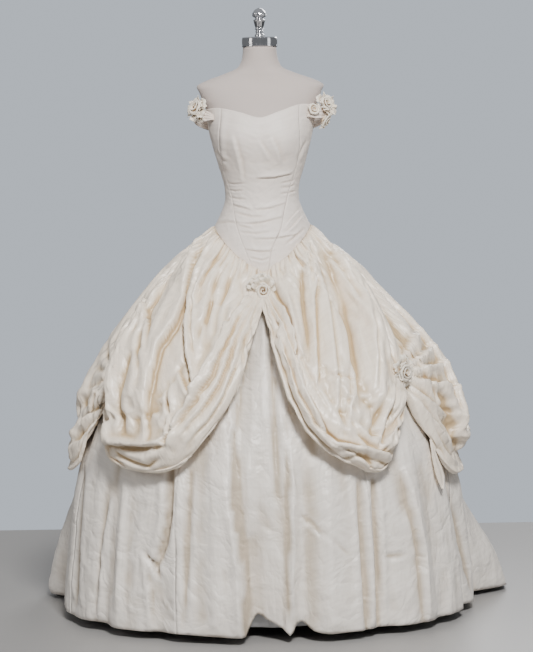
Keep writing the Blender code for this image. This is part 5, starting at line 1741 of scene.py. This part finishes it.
for piece, solid, finish_slot in (
    (cap, "form_cap", "chrome"),
    (finial, "form_finial", "chrome"),
    (flange, "stand_flange", "steel"),
    (pole, "stand_pole", "chrome"),
    (base, "stand_base", "painted iron"),
):
    put_on(piece, [solid])
    low, high = (np.array(corner).round(4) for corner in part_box(solid))
    spots = np.array([v.co for v in piece.data.vertices])
    print(piece.name, spots.min(axis=0).round(4), spots.max(axis=0).round(4), "solid", low, high)

# %% [markdown]
# ## Covered buttons
# The buttons are small wooden shells covered with the bodice's silk. Their solids have the right shape, so
# each one stays and only gets a new finish: the form's fine knit, named button silk.

# %% Cover the buttons
BUTTON_SILK = jersey_finish("button silk")
for number in range(1, 8):
    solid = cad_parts[f"back_button_{number}"]
    for place in solid.material_slots:
        place.material = BUTTON_SILK
print("buttons", len([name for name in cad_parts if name.startswith("back_button")]))

# %% [markdown]
# ## The floor and the light
# The photograph is a studio picture: a plain pale grey-blue wall, a floor, and big soft lamps in front. The
# pale surroundings are the world's own colour, so the dress can be seen from every side. One large lamp
# stands high in front, a little to the right, and gives the folds their shade; a weaker one fills from the
# left, a faint one from the right, and one lights the dress from behind.

# %% Floor
def plain_finish(name, colour, roughness, patches):
    """A polished floor, very slightly clouded."""
    made = bpy.data.materials.new(name)
    made.use_nodes = True
    tree = made.node_tree
    shader = tree.nodes["Principled BSDF"]
    shader.inputs["Roughness"].default_value = roughness
    spot = node(tree, "ShaderNodeTexCoord").outputs["Object"]
    cloudy = node(tree, "ShaderNodeTexNoise", [("Vector", spot), ("Scale", 1.6), ("Detail", 5.0)]).outputs[0]
    tone = node(tree, "ShaderNodeMix", [(0, cloudy)], data_type="RGBA")
    tone.inputs[6].default_value = (*[c * (1 - patches) for c in colour], 1)
    tone.inputs[7].default_value = (*[c * (1 + patches) for c in colour], 1)
    tree.links.new(tone.outputs[2], shader.inputs["Base Color"])
    return made


bpy.ops.object.select_all(action="DESELECT")
bpy.ops.mesh.primitive_plane_add(size=1, location=(0, -1.6, -0.0005))
floor = bpy.context.object
bpy.ops.transform.resize(value=(7.0, 6.0, 1))
bpy.ops.object.transform_apply(location=True, rotation=True, scale=True)
floor.name = "floor"
floor.data.materials.append(plain_finish("pale floor", (0.31, 0.302, 0.296), 0.42, 0.06))

# %% Lamps
def lamp(name, place, aim, size, power, colour):
    """A soft square lamp that points at a place."""
    made = bpy.data.objects.new(name, bpy.data.lights.new(name, "AREA"))
    made.data.shape, made.data.size, made.data.energy, made.data.color = "SQUARE", size, power, colour
    bpy.context.scene.collection.objects.link(made)
    made.location = place
    made.rotation_mode = "QUATERNION"
    made.rotation_quaternion = (Vector(aim) - Vector(place)).to_track_quat("-Z", "Y")
    return made


lamp("key", (0.75, -4.4, 4.2), (0, 0, 1.0), 1.1, 440, (1.0, 0.99, 0.97))
lamp("left", (-4.4, -2.4, 2.6), (0, 0, 0.7), 1.6, 35, (1.0, 0.97, 0.93))
lamp("right", (4.2, -2.0, 2.4), (0, 0, 0.7), 1.6, 12, (0.96, 0.98, 1.0))
lamp("back", (1.5, 4.4, 3.2), (0, 0, 0.8), 2.2, 120, (0.97, 0.98, 1.0))
world = bpy.data.worlds.new("pale room")
world.use_nodes = True
tree = world.node_tree
room = tree.nodes["Background"]
room.inputs["Color"].default_value = (0.80, 0.83, 0.87, 1)
direction = node(tree, "ShaderNodeTexCoord").outputs["Generated"]
rise = node(tree, "ShaderNodeSeparateXYZ", [("Vector", direction)]).outputs["Z"]
glow = node(tree, "ShaderNodeMapRange", [("Value", rise), ("From Min", -0.3), ("From Max", 0.7)])
glow.inputs["To Min"].default_value, glow.inputs["To Max"].default_value = 0.08, 0.42
tree.links.new(glow.outputs[0], room.inputs["Strength"])
wall = node(tree, "ShaderNodeBackground", [("Color", (0.560, 0.615, 0.685, 1)), ("Strength", 1.0)])
seen = node(tree, "ShaderNodeLightPath").outputs["Is Camera Ray"]
both = node(tree, "ShaderNodeMixShader", [(0, seen), (1, room.outputs[0]), (2, wall.outputs[0])])
tree.links.new(both.outputs[0], tree.nodes["World Output"].inputs["Surface"])
bpy.context.scene.world = world

# %% [markdown]
# ## What the cloth was cut to
# A Cut row holds the size a sheet was cut to: its width, its length, its area, how it is held and what it rests on.

Cut = namedtuple("Cut", "wide long area held rests_on")
